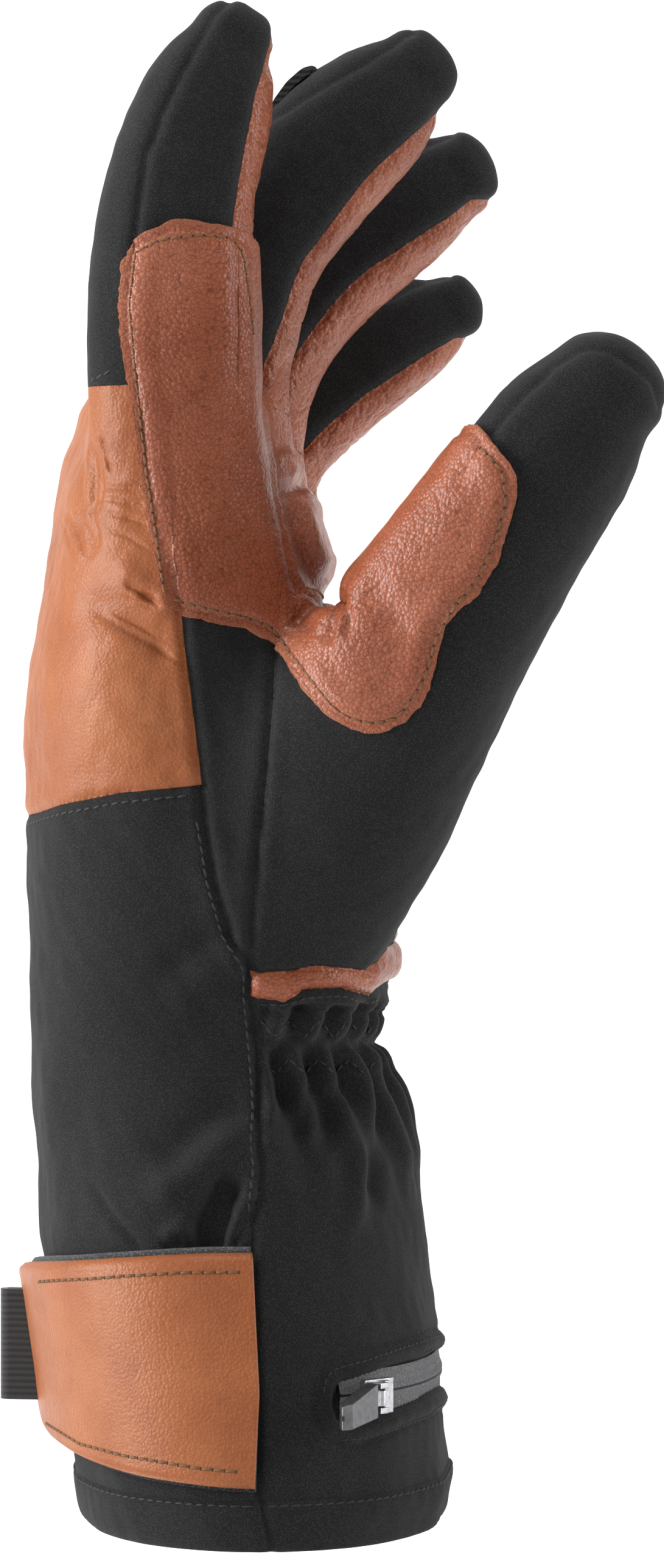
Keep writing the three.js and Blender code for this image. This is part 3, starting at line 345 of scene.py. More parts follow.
def skin_mesh():
    low = np.array([-64.0, -80.0, -4.0])
    shape = (int(146 / VOXEL), int(146 / VOXEL), int(300 / VOXEL))
    axes = [low[k] + VOXEL * np.arange(shape[k]) for k in range(3)]
    fingers = np.full(shape, 30, np.float32)
    thumb = np.full(shape, 30, np.float32)
    hand = np.full(shape, 30, np.float32)

    def fill(target, measure, a, b):
        lo = [max(0, int((a[k] - low[k]) / VOXEL)) for k in range(3)]
        hi = [min(shape[k], int((b[k] - low[k]) / VOXEL) + 1) for k in range(3)]
        cut_axes = [axes[k][lo[k]:hi[k]] for k in range(3)]
        grid = np.stack(np.meshgrid(*cut_axes, indexing="ij"), -1).reshape(-1, 3).astype(np.float32)
        room = tuple(slice(lo[k], hi[k]) for k in range(3))
        value = measure(grid).reshape([hi[k] - lo[k] for k in range(3)])
        target[room] = np.minimum(target[room], value)

    fill(hand, hand_distance, (-60, -70, -4), (46, 70, 224))
    for name, limb in limbs.items():
        fill(thumb if name == "thumb" else fingers, limb.distance, limb.low, limb.high)
    field = soft_min(hand, fingers, 7.0)
    field = soft_min(field, thumb, 10.0)
    grid = openvdb.FloatGrid(30.0)
    grid.copyFromArray(np.ascontiguousarray(field))
    points, quads = grid.convertToQuads(isovalue=0.0)
    v = np.asarray(points, float) * VOXEL + low
    q = np.asarray(quads, int)
    f = np.concatenate([q[:, [0, 1, 2]], q[:, [0, 2, 3]]])
    a, b, c = v[f[:, 0]], v[f[:, 1]], v[f[:, 2]]
    if (np.cross(a, b) * c).sum() < 0:
        f = f[:, ::-1]
    return v, f


def vertex_normals(v, f):
    n = np.zeros_like(v)
    fn = np.cross(v[f[:, 1]] - v[f[:, 0]], v[f[:, 2]] - v[f[:, 0]])
    for k in range(3):
        for c in range(3):
            n[:, c] += np.bincount(f[:, k], fn[:, c], len(v))
    return n / np.maximum(np.linalg.norm(n, axis=1), 1e-9)[:, None]


def relax(v, f, rounds, weight=0.5):
    edges = np.unique(np.sort(np.concatenate([f[:, [0, 1]], f[:, [1, 2]], f[:, [2, 0]]]), axis=1), axis=0)
    count = np.bincount(edges.ravel(), minlength=len(v))[:, None]
    for _ in range(rounds):
        total = np.zeros_like(v)
        for c in range(v.shape[1]):
            total[:, c] = np.bincount(edges[:, 0], v[edges[:, 1], c], len(v))
            total[:, c] += np.bincount(edges[:, 1], v[edges[:, 0], c], len(v))
        v = v + (total / np.maximum(count, 1) - v) * weight
    return v


def line_gap(uv, line):
    """Distance to a line of picture points, which side, and the share along it."""
    line = np.asarray(line, float)
    lengths = path_lengths(line)
    best = np.full(len(uv), 1e9)
    side = np.ones(len(uv))
    share = np.zeros(len(uv))
    for i in range(len(line) - 1):
        a, d = line[i], line[i + 1] - line[i]
        size = d @ d
        rel = uv - a
        t = np.clip(rel @ d / size, 0, 1)
        off = rel - t[:, None] * d
        dist = np.sqrt((off ** 2).sum(1))
        closer = dist < best - 1e-9
        best = np.where(closer, dist, best)
        side = np.where(closer, np.sign(rel[:, 0] * d[1] - rel[:, 1] * d[0]), side)
        share = np.where(closer, (lengths[i] + t * math.sqrt(size)) / lengths[-1], share)
    return best, side, share


def inside_gap(uv, outline):
    """Distance in pixels to a closed outline, plus inside."""
    closed = list(outline) + [outline[0]]
    best, _, _ = line_gap(uv, closed)
    inside = np.zeros(len(uv), bool)
    for (x0, y0), (x1, y1) in zip(closed[:-1], closed[1:]):
        crosses = (y0 > uv[:, 1]) != (y1 > uv[:, 1])
        at = x0 + (uv[:, 1] - y0) / (y1 - y0 + 1e-12) * (x1 - x0)
        inside ^= crosses & (uv[:, 0] < at)
    return np.where(inside, best, -best)


def folds(uv, table):
    move = np.zeros(len(uv))
    for width, depth, line in table:
        near, _, share = line_gap(uv, line)
        ends = np.clip(np.sin(np.pi * np.clip(share, 0.02, 0.98)) * 1.6, 0, 1)
        move += depth * ends * bell(near * MM, width)
    return move


def ripple(p, size, seed, terms=10):
    local = np.random.default_rng(seed)
    out = np.zeros(len(p))
    for _ in range(terms):
        d = local.normal(size=3)
        d *= 2 * np.pi / size / np.linalg.norm(d) * local.uniform(0.7, 1.4)
        out += np.sin(p @ d + local.uniform(0, 6.28))
    return out / math.sqrt(terms)


def cut(mesh, s):
    """Splits (attributes, faces) along s = 0 into the plus and the minus side."""
    a, f = mesh
    s = np.where(np.abs(s) < 1e-4, 1e-4, s)
    plus = s > 0
    count = plus[f].sum(1)
    mixed = f[(count == 1) | (count == 2)]
    lone = np.where(plus[mixed].sum(1) == 1, 1, 0)
    odd = (plus[mixed] == lone[:, None]).argmax(1)
    rows = np.arange(len(mixed))
    o, p, q = mixed[rows, odd], mixed[rows, (odd + 1) % 3], mixed[rows, (odd + 2) % 3]
    pairs = np.sort(np.concatenate([np.stack([o, p], 1), np.stack([o, q], 1)]), axis=1)
    keys, back = np.unique(pairs, axis=0, return_inverse=True)
    back = back.reshape(-1)
    t = s[keys[:, 0]] / (s[keys[:, 0]] - s[keys[:, 1]])
    fresh = a[keys[:, 0]] * (1 - t[:, None]) + a[keys[:, 1]] * t[:, None]
    op, oq = back[:len(o)] + len(a), back[len(o):] + len(a)
    every = np.concatenate([a, fresh])
    single = np.stack([o, op, oq], 1)
    double = np.concatenate([np.stack([op, p, q], 1), np.stack([op, q, oq], 1)])
    twice = np.concatenate([lone, lone])
    up = np.concatenate([f[count == 3], single[lone == 1], double[twice == 0]])
    down = np.concatenate([f[count == 0], single[lone == 0], double[twice == 1]])
    return compact(every, up), compact(every, down)


def refine(mesh):
    """Four triangles from each one."""
    a, f = mesh
    pairs = np.sort(np.concatenate([f[:, [0, 1]], f[:, [1, 2]], f[:, [2, 0]]]), axis=1)
    keys, back = np.unique(pairs, axis=0, return_inverse=True)
    back = back.reshape(3, -1) + len(a)
    ab, bc, ca = back
    fresh = (a[keys[:, 0]] + a[keys[:, 1]]) / 2
    faces = np.concatenate([np.stack([f[:, 0], ab, ca], 1), np.stack([f[:, 1], bc, ab], 1),
                            np.stack([f[:, 2], ca, bc], 1), np.stack([ab, bc, ca], 1)])
    return np.concatenate([a, fresh]), faces


def crumple(p, size, seed):
    """Sharp creases about one size apart, on gentle waves."""
    return 0.5 * ripple(p, size * 1.6, seed + 1) - bell(ripple(p, size, seed, 14), 0.22)


def raise_by(mesh, height):
    a, f = mesh
    a = a.copy()
    a[:, :3] += a[:, 3:6] * height[:, None]
    return a, f


def compact(a, f):
    if not len(f):
        return a[:0], f
    used, back = np.unique(f, return_inverse=True)
    return a[used], back.reshape(f.shape)


def skirt(mesh, depth):
    """Turns the border of a sheet inward, so its edge looks as thick as it is."""
    a, f = mesh
    edges = np.concatenate([f[:, [0, 1]], f[:, [1, 2]], f[:, [2, 0]]])
    key = edges[:, 0] * (len(a) + 1) + edges[:, 1]
    other = edges[:, 1] * (len(a) + 1) + edges[:, 0]
    border = edges[~np.isin(key, other)]
    rim, back = np.unique(border, return_inverse=True)
    back = back.reshape(border.shape)
    extra = a[rim].copy()
    extra[:, :3] -= extra[:, 3:6] * depth
    b = back + len(a)
    walls = np.concatenate([
        np.stack([border[:, 1], border[:, 0], b[:, 0]], 1),
        np.stack([border[:, 1], b[:, 0], b[:, 1]], 1),
    ])
    return np.concatenate([a, extra]), np.concatenate([f, walls])


def piece(name, v, f, material, nodes=(), slot=None, body="glove", smooth=True, index=None):
    mesh = bpy.data.meshes.new(name)
    faces = f.tolist() if isinstance(f, np.ndarray) else f
    mesh.from_pydata((np.asarray(v) * 0.001).tolist(), [], faces)
    mesh.update()
    for m in (material if isinstance(material, list) else [material]):
        mesh.materials.append(m)
    if index is not None:
        mesh.polygons.foreach_set("material_index", index)
    if smooth:
        mesh.shade_smooth()
    obj = bpy.data.objects.new(name, mesh)
    bpy.context.scene.collection.objects.link(obj)
    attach(obj, body)
    if nodes:
        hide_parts(*nodes)
    return obj


def sheet(name, mesh, material, nodes, slot, index=None):
    return piece(name, mesh[0][:, :3], mesh[1], material, nodes, slot, index=index)


# Materials
class Look:
    """A material, with short calls for its nodes."""

    def __init__(self, name):
        self.material = bpy.data.materials.new(name)
        self.material.use_nodes = True
        self.tree = self.material.node_tree
        self.where = self.node("TexCoord").outputs["Object"]

    def node(self, kind, spot=None, mode=None, **values):
        made = self.tree.nodes.new("ShaderNode" + kind)
        if mode:
            setattr(made, *mode)
        if spot is not None:
            values["Vector"] = spot
        self.fill(made, values)
        return made

    def fill(self, node, values):
        """Sets each socket to a value, or links it to another node's output."""
        for name, value in values.items():
            socket = node.inputs[name.replace("_", " ")]
            if isinstance(value, bpy.types.NodeSocket):
                self.tree.links.new(value, socket)
            else:
                socket.default_value = value

    def noise(self, scale, detail=2.0, rough=0.5):
        return self.node("TexNoise", self.where, Scale=scale, Detail=detail, Roughness=rough).outputs["Fac"]

    def ramp(self, value, stops):
        made = self.node("ValToRGB", Fac=value)
        while len(made.color_ramp.elements) < len(stops):
            made.color_ramp.elements.new(0.5)
        for element, (at, colour) in zip(made.color_ramp.elements, stops):
            element.position = at
            element.color = (*colour, 1)
        return made.outputs["Color"]

    def spread(self, value, low, high):
        return self.node("MapRange", Value=value, To_Min=low, To_Max=high).outputs["Result"]

    def bump(self, height, distance, strength, **under):
        made = self.node("Bump", Height=height, Distance=distance, Strength=strength, **under)
        return made.outputs["Normal"]

    def shaded(self, colour, shade):
        made = self.node("Mix", mode=("data_type", "RGBA"))
        made.blend_type = "MULTIPLY"
        factor, _, _, _, _, _, first, second = made.inputs[:8]
        factor.default_value = 1.0
        self.tree.links.new(colour, first)
        self.tree.links.new(shade, second)
        return made.outputs[2]

    def finish(self, **values):
        self.fill(self.tree.nodes["Principled BSDF"], values)
        return self.material


def leather(name, shades, rough, cell, depth, painted_pit_shade):
    """Pebbled grain: domes between fine lines painted dark as shade in the pits, on a slightly uneven hide.
    """
    look = Look(name)
    wobble = look.node("TexNoise", look.where, Scale=900, Detail=3)
    warp = look.node("VectorMath", mode=("operation", "MULTIPLY_ADD"))
    look.tree.links.new(wobble.outputs["Color"], warp.inputs[0])
    warp.inputs[1].default_value = (cell * 0.55,) * 3
    look.tree.links.new(look.where, warp.inputs[2])
    bent = warp.outputs[0]
    domes = look.node("TexVoronoi", bent, ("feature", "SMOOTH_F1"), Scale=1 / cell, Smoothness=0.25)
    cells = look.node("TexVoronoi", bent, ("feature", "DISTANCE_TO_EDGE"), Scale=1 / cell)
    # The pits between the pebbles are sunk by a bump and painted darker in the colour, as shade.
    pit_depth_and_painted_shade = look.node("MapRange", None, ("interpolation_type", "SMOOTHSTEP"), Value=cells.outputs["Distance"],
                    From_Max=0.11, To_Min=painted_pit_shade).outputs["Result"]
    colour = look.ramp(look.noise(45, 4, 0.6), list(zip((0.3, 0.5, 0.72), shades)))
    hide = look.bump(look.noise(120, 4, 0.55), 0.0007, 0.14)
    pebbles = look.bump(domes.outputs["Distance"], -depth * 2, 0.8, Normal=hide)
    grain = look.bump(pit_depth_and_painted_shade, depth * 0.5, 0.7, Normal=pebbles)
    return look.finish(Base_Color=look.shaded(colour, pit_depth_and_painted_shade),
                       Normal=look.bump(look.noise(3200), 0.00005, 0.6, Normal=grain),
                       Roughness=look.spread(look.noise(300), rough - 0.1, rough + 0.1),
                       Specular_IOR_Level=0.38)


def cloth(name, dark, light, pitch, rough=0.85, sheen=0.06):
    """A fine weave: raised dots on a dark ground, each with a paler speck painted on as a highlight."""
    look = Look(name)
    raised_dots_and_painted_glints = look.node("TexVoronoi", look.where, Scale=1 / pitch, Randomness=0.9).outputs["Distance"]
    # The paler specks on the raised dots are painted highlights.
    colour = look.ramp(raised_dots_and_painted_glints, [(0.0, light), (0.45, dark), (1.0, dark)])
    return look.finish(Base_Color=look.shaded(colour, look.spread(look.noise(60), 0.82, 1.18)),
                       Normal=look.bump(raised_dots_and_painted_glints, -0.00008, 0.7), Roughness=rough,
                       Specular_IOR_Level=0.15, Sheen_Weight=sheen, Sheen_Roughness=0.6)


def ribbed(name, dark, light, pitch):
    look = Look(name)
    rib_height_and_painted_shading = look.node("TexWave", look.where, ("bands_direction", "Z"), Scale=0.157 / pitch, Distortion=0.6,
                     Detail=1).outputs["Fac"]
    ribs = look.bump(rib_height_and_painted_shading, 0.0002, 0.8)
    # The colour follows the ribs: the lighter crests are painted highlight and the darker troughs are
    # painted shade.
    return look.finish(Base_Color=look.ramp(rib_height_and_painted_shading, [(0.1, dark), (0.9, light)]),
                       Normal=look.bump(look.noise(3000), 0.00006, 0.7, Normal=ribs),
                       Roughness=0.9, Sheen_Weight=0.3)


def metal(name, colour, rough):
    look = Look(name)
    scuff = look.noise(900, 4, 0.7)
    bright = tuple(c * 1.5 for c in colour)
    return look.finish(Base_Color=look.ramp(scuff, [(0.35, colour), (0.75, bright)]),
                       Roughness=look.spread(scuff, rough, rough + 0.2),
                       Normal=look.bump(scuff, 0.00003, 0.5), Metallic=1.0)


def thread(name, dark, light):
    look = Look(name)
    twist = look.noise(3500)
    return look.finish(Base_Color=look.ramp(twist, [(0.3, dark), (0.7, light)]),
                       Normal=look.bump(twist, 0.0001, 0.8), Roughness=0.6)


# The last number of each leather sets how dark its grain pits are painted, as shade.
TAN = leather("tan_leather", [(0.29, 0.077, 0.020), (0.35, 0.104, 0.030), (0.41, 0.138, 0.047)],
              rough=0.46, cell=0.00065, depth=0.00006, painted_pit_shade=0.78)
BROWN = leather("brown_leather", [(0.26, 0.064, 0.026), (0.33, 0.092, 0.042), (0.42, 0.135, 0.073)],
                rough=0.34, cell=0.00085, depth=0.00010, painted_pit_shade=0.54)
SUEDE = leather("cut_edge", [(0.26, 0.075, 0.035), (0.34, 0.11, 0.055), (0.42, 0.16, 0.09)],
                rough=0.9, cell=0.0004, depth=0.00016, painted_pit_shade=0.72)
# The second colour of each cloth is the painted highlight on its weave's raised dots; the webbing's is the
# painted highlight on its ribs' crests.
CLOTH = cloth("shell_cloth", (0.010, 0.010, 0.0105), (0.054, 0.054, 0.056), 0.00030)
GUSSET = cloth("gusset_cloth", (0.011, 0.011, 0.0115), (0.050, 0.050, 0.052), 0.00028)
WEBBING = ribbed("webbing", (0.010, 0.010, 0.011), (0.030, 0.030, 0.031), 0.0006)
PILE = cloth("loop_pile", (0.012, 0.012, 0.013), (0.15, 0.15, 0.145), 0.0005, 0.95, 0.3)
TAPE = cloth("zip_tape", (0.14, 0.14, 0.145), (0.30, 0.30, 0.31), 0.0004)
GOLD = thread("gold_thread", (0.12, 0.048, 0.012), (0.24, 0.11, 0.032))
BLACK = thread("black_thread", (0.006, 0.006, 0.006), (0.024, 0.024, 0.024))
# Needle holes are flat dark marks: painted shade in the holes.
HOLE_SHADE = thread("needle_hole_shade", (0.03, 0.012, 0.006), (0.06, 0.02, 0.01))
GUN = metal("gunmetal", (0.16, 0.16, 0.165), 0.34)
CHROME = metal("slider_metal", (0.42, 0.42, 0.44), 0.2)

# The skin starts as one smooth surface
v, f = skin_mesh()
v = relax(v, f, 10)
hem_tilt = 0.06 * np.exp(-np.maximum(v[:, 2], 0) / 25)
v[:, 2] += hem_tilt * (v[:, 0] + 10)
n = vertex_normals(v, f)
uv = project(v)
near = {name: limb.distance(v.astype(np.float32)) for name, limb in limbs.items()}
hand_near = hand_distance(v)
nearest_finger = np.min([near[name] for name in HEMS], axis=0)
on_hand = np.clip((nearest_finger + 2) / 6, 0, 1)
move = folds(uv, FOLDS) * np.where(n[:, 1] > 0.35, 0.45, 1.0)


def finger_zone(name):
    """Plus on the finger beyond its hem, in mm from the hem or the next finger."""
    limb = limbs[name]
    hem = place(*map(np.float64, HEMS[name]), limb.p[20, 1])
    k = ((limb.p - hem) ** 2).sum(1).argmin()
    others = np.min([near[other] for other in near if other != name], axis=0)
    return np.minimum((v - limb.p[k]) @ limb.along[k], others - near[name])


def seam(line, mask, width, depth, puff):
    """A groove along a line, with cloth puffed up beside it."""
    gap = line_gap(uv, line)[0] * MM
    return mask * (puff * bell(gap - 2.2, 1.5) - depth * bell(gap, width))


zones = {name: finger_zone(name) for name in HEMS}
for name in HEMS:
    here = np.clip(zones[name] + 1, 0, 1)
    move += seam(STRIPS[name], here, 0.7, 0.5, 0.25)
    move += seam(BACK_SEAMS[name], here * (n[:, 1] < 0.5), 0.6, 0.5, 0.25)
on_thumb = np.clip((hand_near - near["thumb"]) / 3, 0, 1)
move += seam(BACK_SEAMS["thumb"], on_thumb * (n[:, 1] < 0.4), 0.6, 0.5, 0.25)
low_hand = (v[:, 2] < 216) * on_hand
move += seam(BACK_SEAM, low_hand, 0.9, 0.75, 0.2)
move += seam(SIDE_SEAM, low_hand * (uv[:, 1] > 1040) * (uv[:, 1] < 1605), 0.8, 0.7, 0.2)
move += seam(KNUCKLE_HEM, low_hand * (uv[:, 0] < 345), 0.7, 0.55, 0.15)

# Elastic gathers below the wrist band: a lattice of puffs, a waist and a frill
centre, thick, wide, _ = hand_rows(v[:, 2])
turn = np.degrees(np.arctan2(v[:, 1] / wide, (v[:, 0] - centre) / thick))
py = uv[:, 1]
palm_side = np.clip((uv[:, 0] - 425) / 18, 0, 1)
gathered = palm_side * (v[:, 2] < GATHERS_TOP)
phase = np.radians(turn + 54.5) * 29 + 0.5 * np.sin(np.radians(turn) * 7)
ribs = np.cos(phase) * np.cos(np.pi * np.clip((py - 1668) / 82, -0.35, 1))
sharp = np.where(ribs > 0, 1.15 * np.abs(ribs) ** 0.6, -1.1 * np.abs(ribs) ** 1.4)
strength = np.interp(py, [1640, 1655, 1700, 1780, 1860, 1990], [0, 0.8, 1.0, 0.8, 0.35, 0])
move += gathered * 2.0 * strength * sharp
move -= gathered * 0.9 * bell(py - 1712, 10) * (0.6 - 0.4 * np.cos(phase))
move += gathered * bell(py - 1641, 9) * (1.0 + 0.5 * np.sin(np.radians(turn) * 21))
move -= gathered * 0.8 * bell(py - 1660, 6)

# The wrist band is a soft roll of leather
top_gap, top_side, _ = line_gap(uv, BAND_TOP)
low_gap, low_side, _ = line_gap(uv, BAND_LOW)
to_edge = np.minimum(top_gap, low_gap) * MM
under_thumb = v[:, 2] < ROLL_TOP
within = under_thumb & (top_side < 0) & (low_side > 0) & (uv[:, 0] > 410)
move += within * 1.5 * np.sqrt(np.clip(to_edge / 2.4, 0, 1))
move -= under_thumb * palm_side * 0.7 * bell(to_edge, 0.6)

# The zip lies in a slot between two stitched lips
slot_gap = inside_gap(uv, ZIP_SLOT) * MM
facing = (turn > -80) & (turn < 40) & (v[:, 2] > 18) & (v[:, 2] < 40)
lips = 0.9 * bell(slot_gap + 1.5, 1.3) - 0.5 * bell(slot_gap + 3.6, 0.5)
move += facing * (lips - 1.5 * np.clip(slot_gap / 0.7, 0, 1))
move += 0.25 * ripple(v, 22, 3) * np.clip(on_hand, 0.25, 1) + 0.07 * ripple(v, 6, 4)
v = v + n * move[:, None]
n = vertex_normals(v, f)

# Each panel is cut from the skin along its seams. Columns: place, normal, picture
# point, one zone a finger, and how far the surface is from being the thumb's
zone_columns = np.column_stack([zones[name] for name in HEMS] + [near["thumb"] - hand_near])
skin = (np.concatenate([v, n, uv, zone_columns], axis=1), f)
HEIGHT, PICTURE, FIRST_ZONE, THUMB = 2, slice(6, 8), 8, 12


def by_line(mesh, line):
    gap, side, _ = line_gap(mesh[0][:, PICTURE], line)
    return gap * side * MM


panels = {}
_, rest = cut(skin, -skin[0][:, HEIGHT])
hem, rest = cut(rest, HEM_TOP - rest[0][:, HEIGHT])
for column, name in enumerate(HEMS, FIRST_ZONE):
    finger, rest = cut(rest, rest[0][:, column])
    panels[f"{name}_strip"], panels[f"{name}_shell"] = cut(finger, by_line(finger, STRIPS[name]))
front, back = cut(rest, by_line(rest, BACK_SEAM))
panels["knuckle_leather"], panels["hand_back_panel"] = cut(back, by_line(back, KNUCKLE_HEM))
above, below = cut(front, by_line(front, BAND_TOP))
panels["wrist_band"], panels["cuff_panel"] = cut(below, by_line(below, BAND_LOW))
palm_seam = -8 - 0.45 * np.clip(above[0][:, HEIGHT] - 135, 0, 60)
owned = np.maximum(palm_seam - above[0][:, 1], -above[0][:, THUMB])
thumb_side = np.minimum(inside_gap(above[0][:, PICTURE], THUMB_AREA) * MM, owned)
panels["thumb_shell"], above = cut(above, thumb_side)
beside_palm = np.minimum(-by_line(above, SIDE_SEAM), -by_line(above, GUSSET_TOP))
gussets, panels["palm_leather"] = cut(above, beside_palm)
panels["little_side_gusset"], panels["thumb_side_gusset"] = cut(gussets, gussets[0][:, 1])

# Material and slot, then depth and size of the creases, by a panel's name or its last word
LOOKS = {"strip": (BROWN, "brown_leather"), "shell": (CLOTH, "cloth"), "gusset": (GUSSET, "cloth"),
         "panel": (CLOTH, "cloth"), "knuckle_leather": (TAN, "tan_leather"),
         "palm_leather": (BROWN, "brown_leather"), "band": (BROWN, "brown_leather")}
CREASES = {"palm_leather": (0.16, 5.0), "wrist_band": (0.10, 4.0), "strip": (0.22, 4.5)}
for name, mesh in panels.items():
    last_word = name.split("_")[-1]
    material, slot = LOOKS.get(name) or LOOKS[last_word]
    creases = CREASES.get(name) or CREASES.get(last_word)
    if name == "knuckle_leather":
        mesh = refine(mesh)
        fine = 0.95 * folds(mesh[0][:, PICTURE], KNUCKLE_FOLDS) + 0.05 * ripple(mesh[0][:, :3], 4, 31)
        mesh = raise_by(mesh, fine)
    elif creases:
        if name != "palm_leather":
            mesh = refine(mesh)
        mesh = raise_by(mesh, creases[0] * crumple(mesh[0][:, :3], creases[1], 41))
    sheet(name + "_skin", skirt(mesh, 1.6), material, [name], slot)

# The hem is a folded band of cloth with a rounded lower edge
level = np.clip(hem[0][:, HEIGHT] / HEM_TOP, 0, 1)
rounded = np.clip(np.minimum(level * 5, (1 - level) * 6), 0, 1) ** 0.5
sheet("hem_band_skin", skirt(raise_by(hem, 0.75 * rounded), 2.6), CLOTH, ["hem_band"], "cloth")

# Inside of the cuff
AROUND = 180
turns = np.linspace(-180, 180, AROUND + 1)[:-1]
levels = np.concatenate([np.linspace(0.4, 9, 5), np.linspace(12, 100, 28)])
lining = np.concatenate([hand_point(np.full(AROUND, z), turns, -2.8) for z in levels])
k = np.arange(len(levels) - 1)[:, None] * AROUND
j = np.arange(AROUND)[None]
after = (j + 1) % AROUND
quads = np.stack([k + j, k + AROUND + j, k + AROUND + after, k + after], -1).reshape(-1, 4)
piece("cuff_lining", lining, quads, CLOTH, [], "cloth")


# Leather patch over the fork of the thumb and the index finger
def spot(at_px, middle, size):
    return np.exp(-(((at_px - middle) / size) ** 2).sum(1))


gap = inside_gap(uv, PATCH) * MM
rag = 0.14 * ripple(v, 4.0, 21) + 0.10 * ripple(v, 1.5, 22)
puff = 0.5 * bell(gap - 4.0, 2.2) - 0.35 * bell(gap - 1.6, 0.5)
patch_v = relax(v, f, 6) + n * (1.25 + folds(uv, PATCH_FOLDS) + puff)[:, None]
patch_n = vertex_normals(patch_v, f)
far_limit = np.where(uv[:, 0] > 500, 1.3, 0.55)
reach = np.minimum(gap + rag, np.minimum((far_limit - patch_n[:, 1]) * 8, -24 - v[:, 1]))
patch = refine(cut((np.concatenate([patch_v, patch_n, uv, gap[:, None]], axis=1), f), reach)[0])
at_px = patch[0][:, PICTURE]
fork = spot(at_px, (540, 1010), (85, 75))
rim = spot(at_px, (455, 850), (28, 150))
middle = spot(at_px, (330, 780), (110, 160))
fine = (0.015 + 0.26 * fork + 0.12 * rim) * crumple(patch[0][:, :3] * (1.0, 1.0, 1.3), 5.0, 51)
fine += 0.04 * middle * crumple(patch[0][:, :3] * (0.6, 0.6, 1.6), 5.0, 55)
patch_a, patch_f = skirt(raise_by(patch, fine), 1.7)
rough_edge = patch_a[patch_f][:, :, 8].mean(1) < 0.55
rough_edge |= np.arange(len(patch_f)) >= len(patch[1])
sheet("fork_patch_skin", (patch_a, patch_f), [BROWN, SUEDE], ["fork_patch"], "brown_leather",
      index=rough_edge.astype(np.int32))

def tube_faces(rings, sides):
    """Quads between rings of points, and a lid on each end."""
    faces = []
    for k in range(rings - 1):
        for j in range(sides):
            a, b = k * sides + j, k * sides + (j + 1) % sides
            faces.append((a, b, b + sides, a + sides))
    last = (rings - 1) * sides
    return faces + [tuple(range(sides))[::-1], tuple(range(last, last + sides))]


# Straps lie round the cuff. Each row: turn in degrees, low edge, high edge and lift in mm
STRAP = [(-90, 12.4, 55.4, 2.2), (-98, 12.6, 55.4, 2.2), (-108, 13.2, 54.9, 2.3), (-120, 13.8, 54.0, 2.4),
         (-134, 14.8, 52.8, 2.5), (-148, 15.8, 51.8, 2.7), (-160, 16.8, 50.8, 3.0), (-169, 18.2, 49.8, 3.4),
         (-175, 20.6, 48.0, 3.7), (-178, 24.5, 45.2, 3.8)]
BACKING = [(t, low - 0.95, high + 0.95, lift - 1.7) for t, low, high, lift in STRAP[:9]]
END_LEAN = 5.0


def strap_band(rows, thickness, round_edge, across=40, steps=150):
    s = np.linspace(0, 1, across + 1)
    rings = []
    for t, low, high, lift in smooth_line(rows, steps, 4):
        edge = np.minimum(s, 1 - s) * (high - low)
        inward = 1 - np.clip(edge / round_edge, 0, 1)
        round_off = thickness / 2 * (1 - np.sqrt(1 - inward ** 2))
        z = low + (high - low) * s
        turned = t + END_LEAN * s * np.clip((t + 130) / 40, 0, 1)
        outer = hand_point(z, turned, lift + thickness - round_off)
        inner = hand_point(z, turned, lift + round_off)
        rings.append(np.concatenate([outer, inner[::-1]]))
    return np.concatenate(rings), tube_faces(steps, 2 * (across + 1))


piece("strap_leather", *strap_band(STRAP, 2.2, 0.9), TAN, ["strap"], "tan_leather")
piece("strap_backing_pile", *strap_band(BACKING, 1.5, 0.4), PILE, ["strap_backing"], "webbing")


# Woven tape with a closed chain, in chevrons on each side of its centre line, which is painted black as
# shade in the groove between the chain's halves
def zip_mesh(steps=420, across=40):
    turns = np.linspace(-65, 31, steps)
    z = np.linspace(24.2, 32.6, across + 1)
    T, Z = np.meshgrid(turns, z, indexing="ij")
    arc = (T + 65) * 0.62
    off = Z - 28.4
    chain = np.clip(1.5 - np.abs(off), 0, 1)
    slant = np.where(np.floor(np.abs(off) / 0.75) % 2 == 0, 1, -1)
    weave = np.cos(2 * np.pi * (arc / 0.95 + slant * off / 1.5))
    lift = -0.75 + 0.45 * chain + 0.09 * weave - 0.35 * bell(off, 0.16)
    points = hand_point(Z.ravel(), T.ravel(), lift.ravel())
    k, j = np.meshgrid(np.arange(steps - 1), np.arange(across), indexing="ij")
    a = (k * (across + 1) + j).ravel()
    quads = np.stack([a, a + across + 1, a + across + 2, a + 1], 1)
    # The two middle columns take the black thread look: painted shade in the groove where the chain's
    # halves meet.
    centre_groove_shade = ((j == across // 2) | (j == across // 2 - 1)).ravel()
    return points, quads, centre_groove_shade.astype(np.int32)


points, quads, centre_groove_shade = zip_mesh()
piece("zip_tape_skin", points, quads, [TAPE, BLACK], ["zip_tape", "zip_teeth"], "zip_tape",
      index=centre_groove_shade)

# Finger loop: a webbing strip along picture points on the middle fingertip
LOOP = [(519, 150), (516, 118), (500, 122), (476, 143), (455, 172), (446, 198), (456, 202), (470, 180),
        (488, 158), (508, 146)]


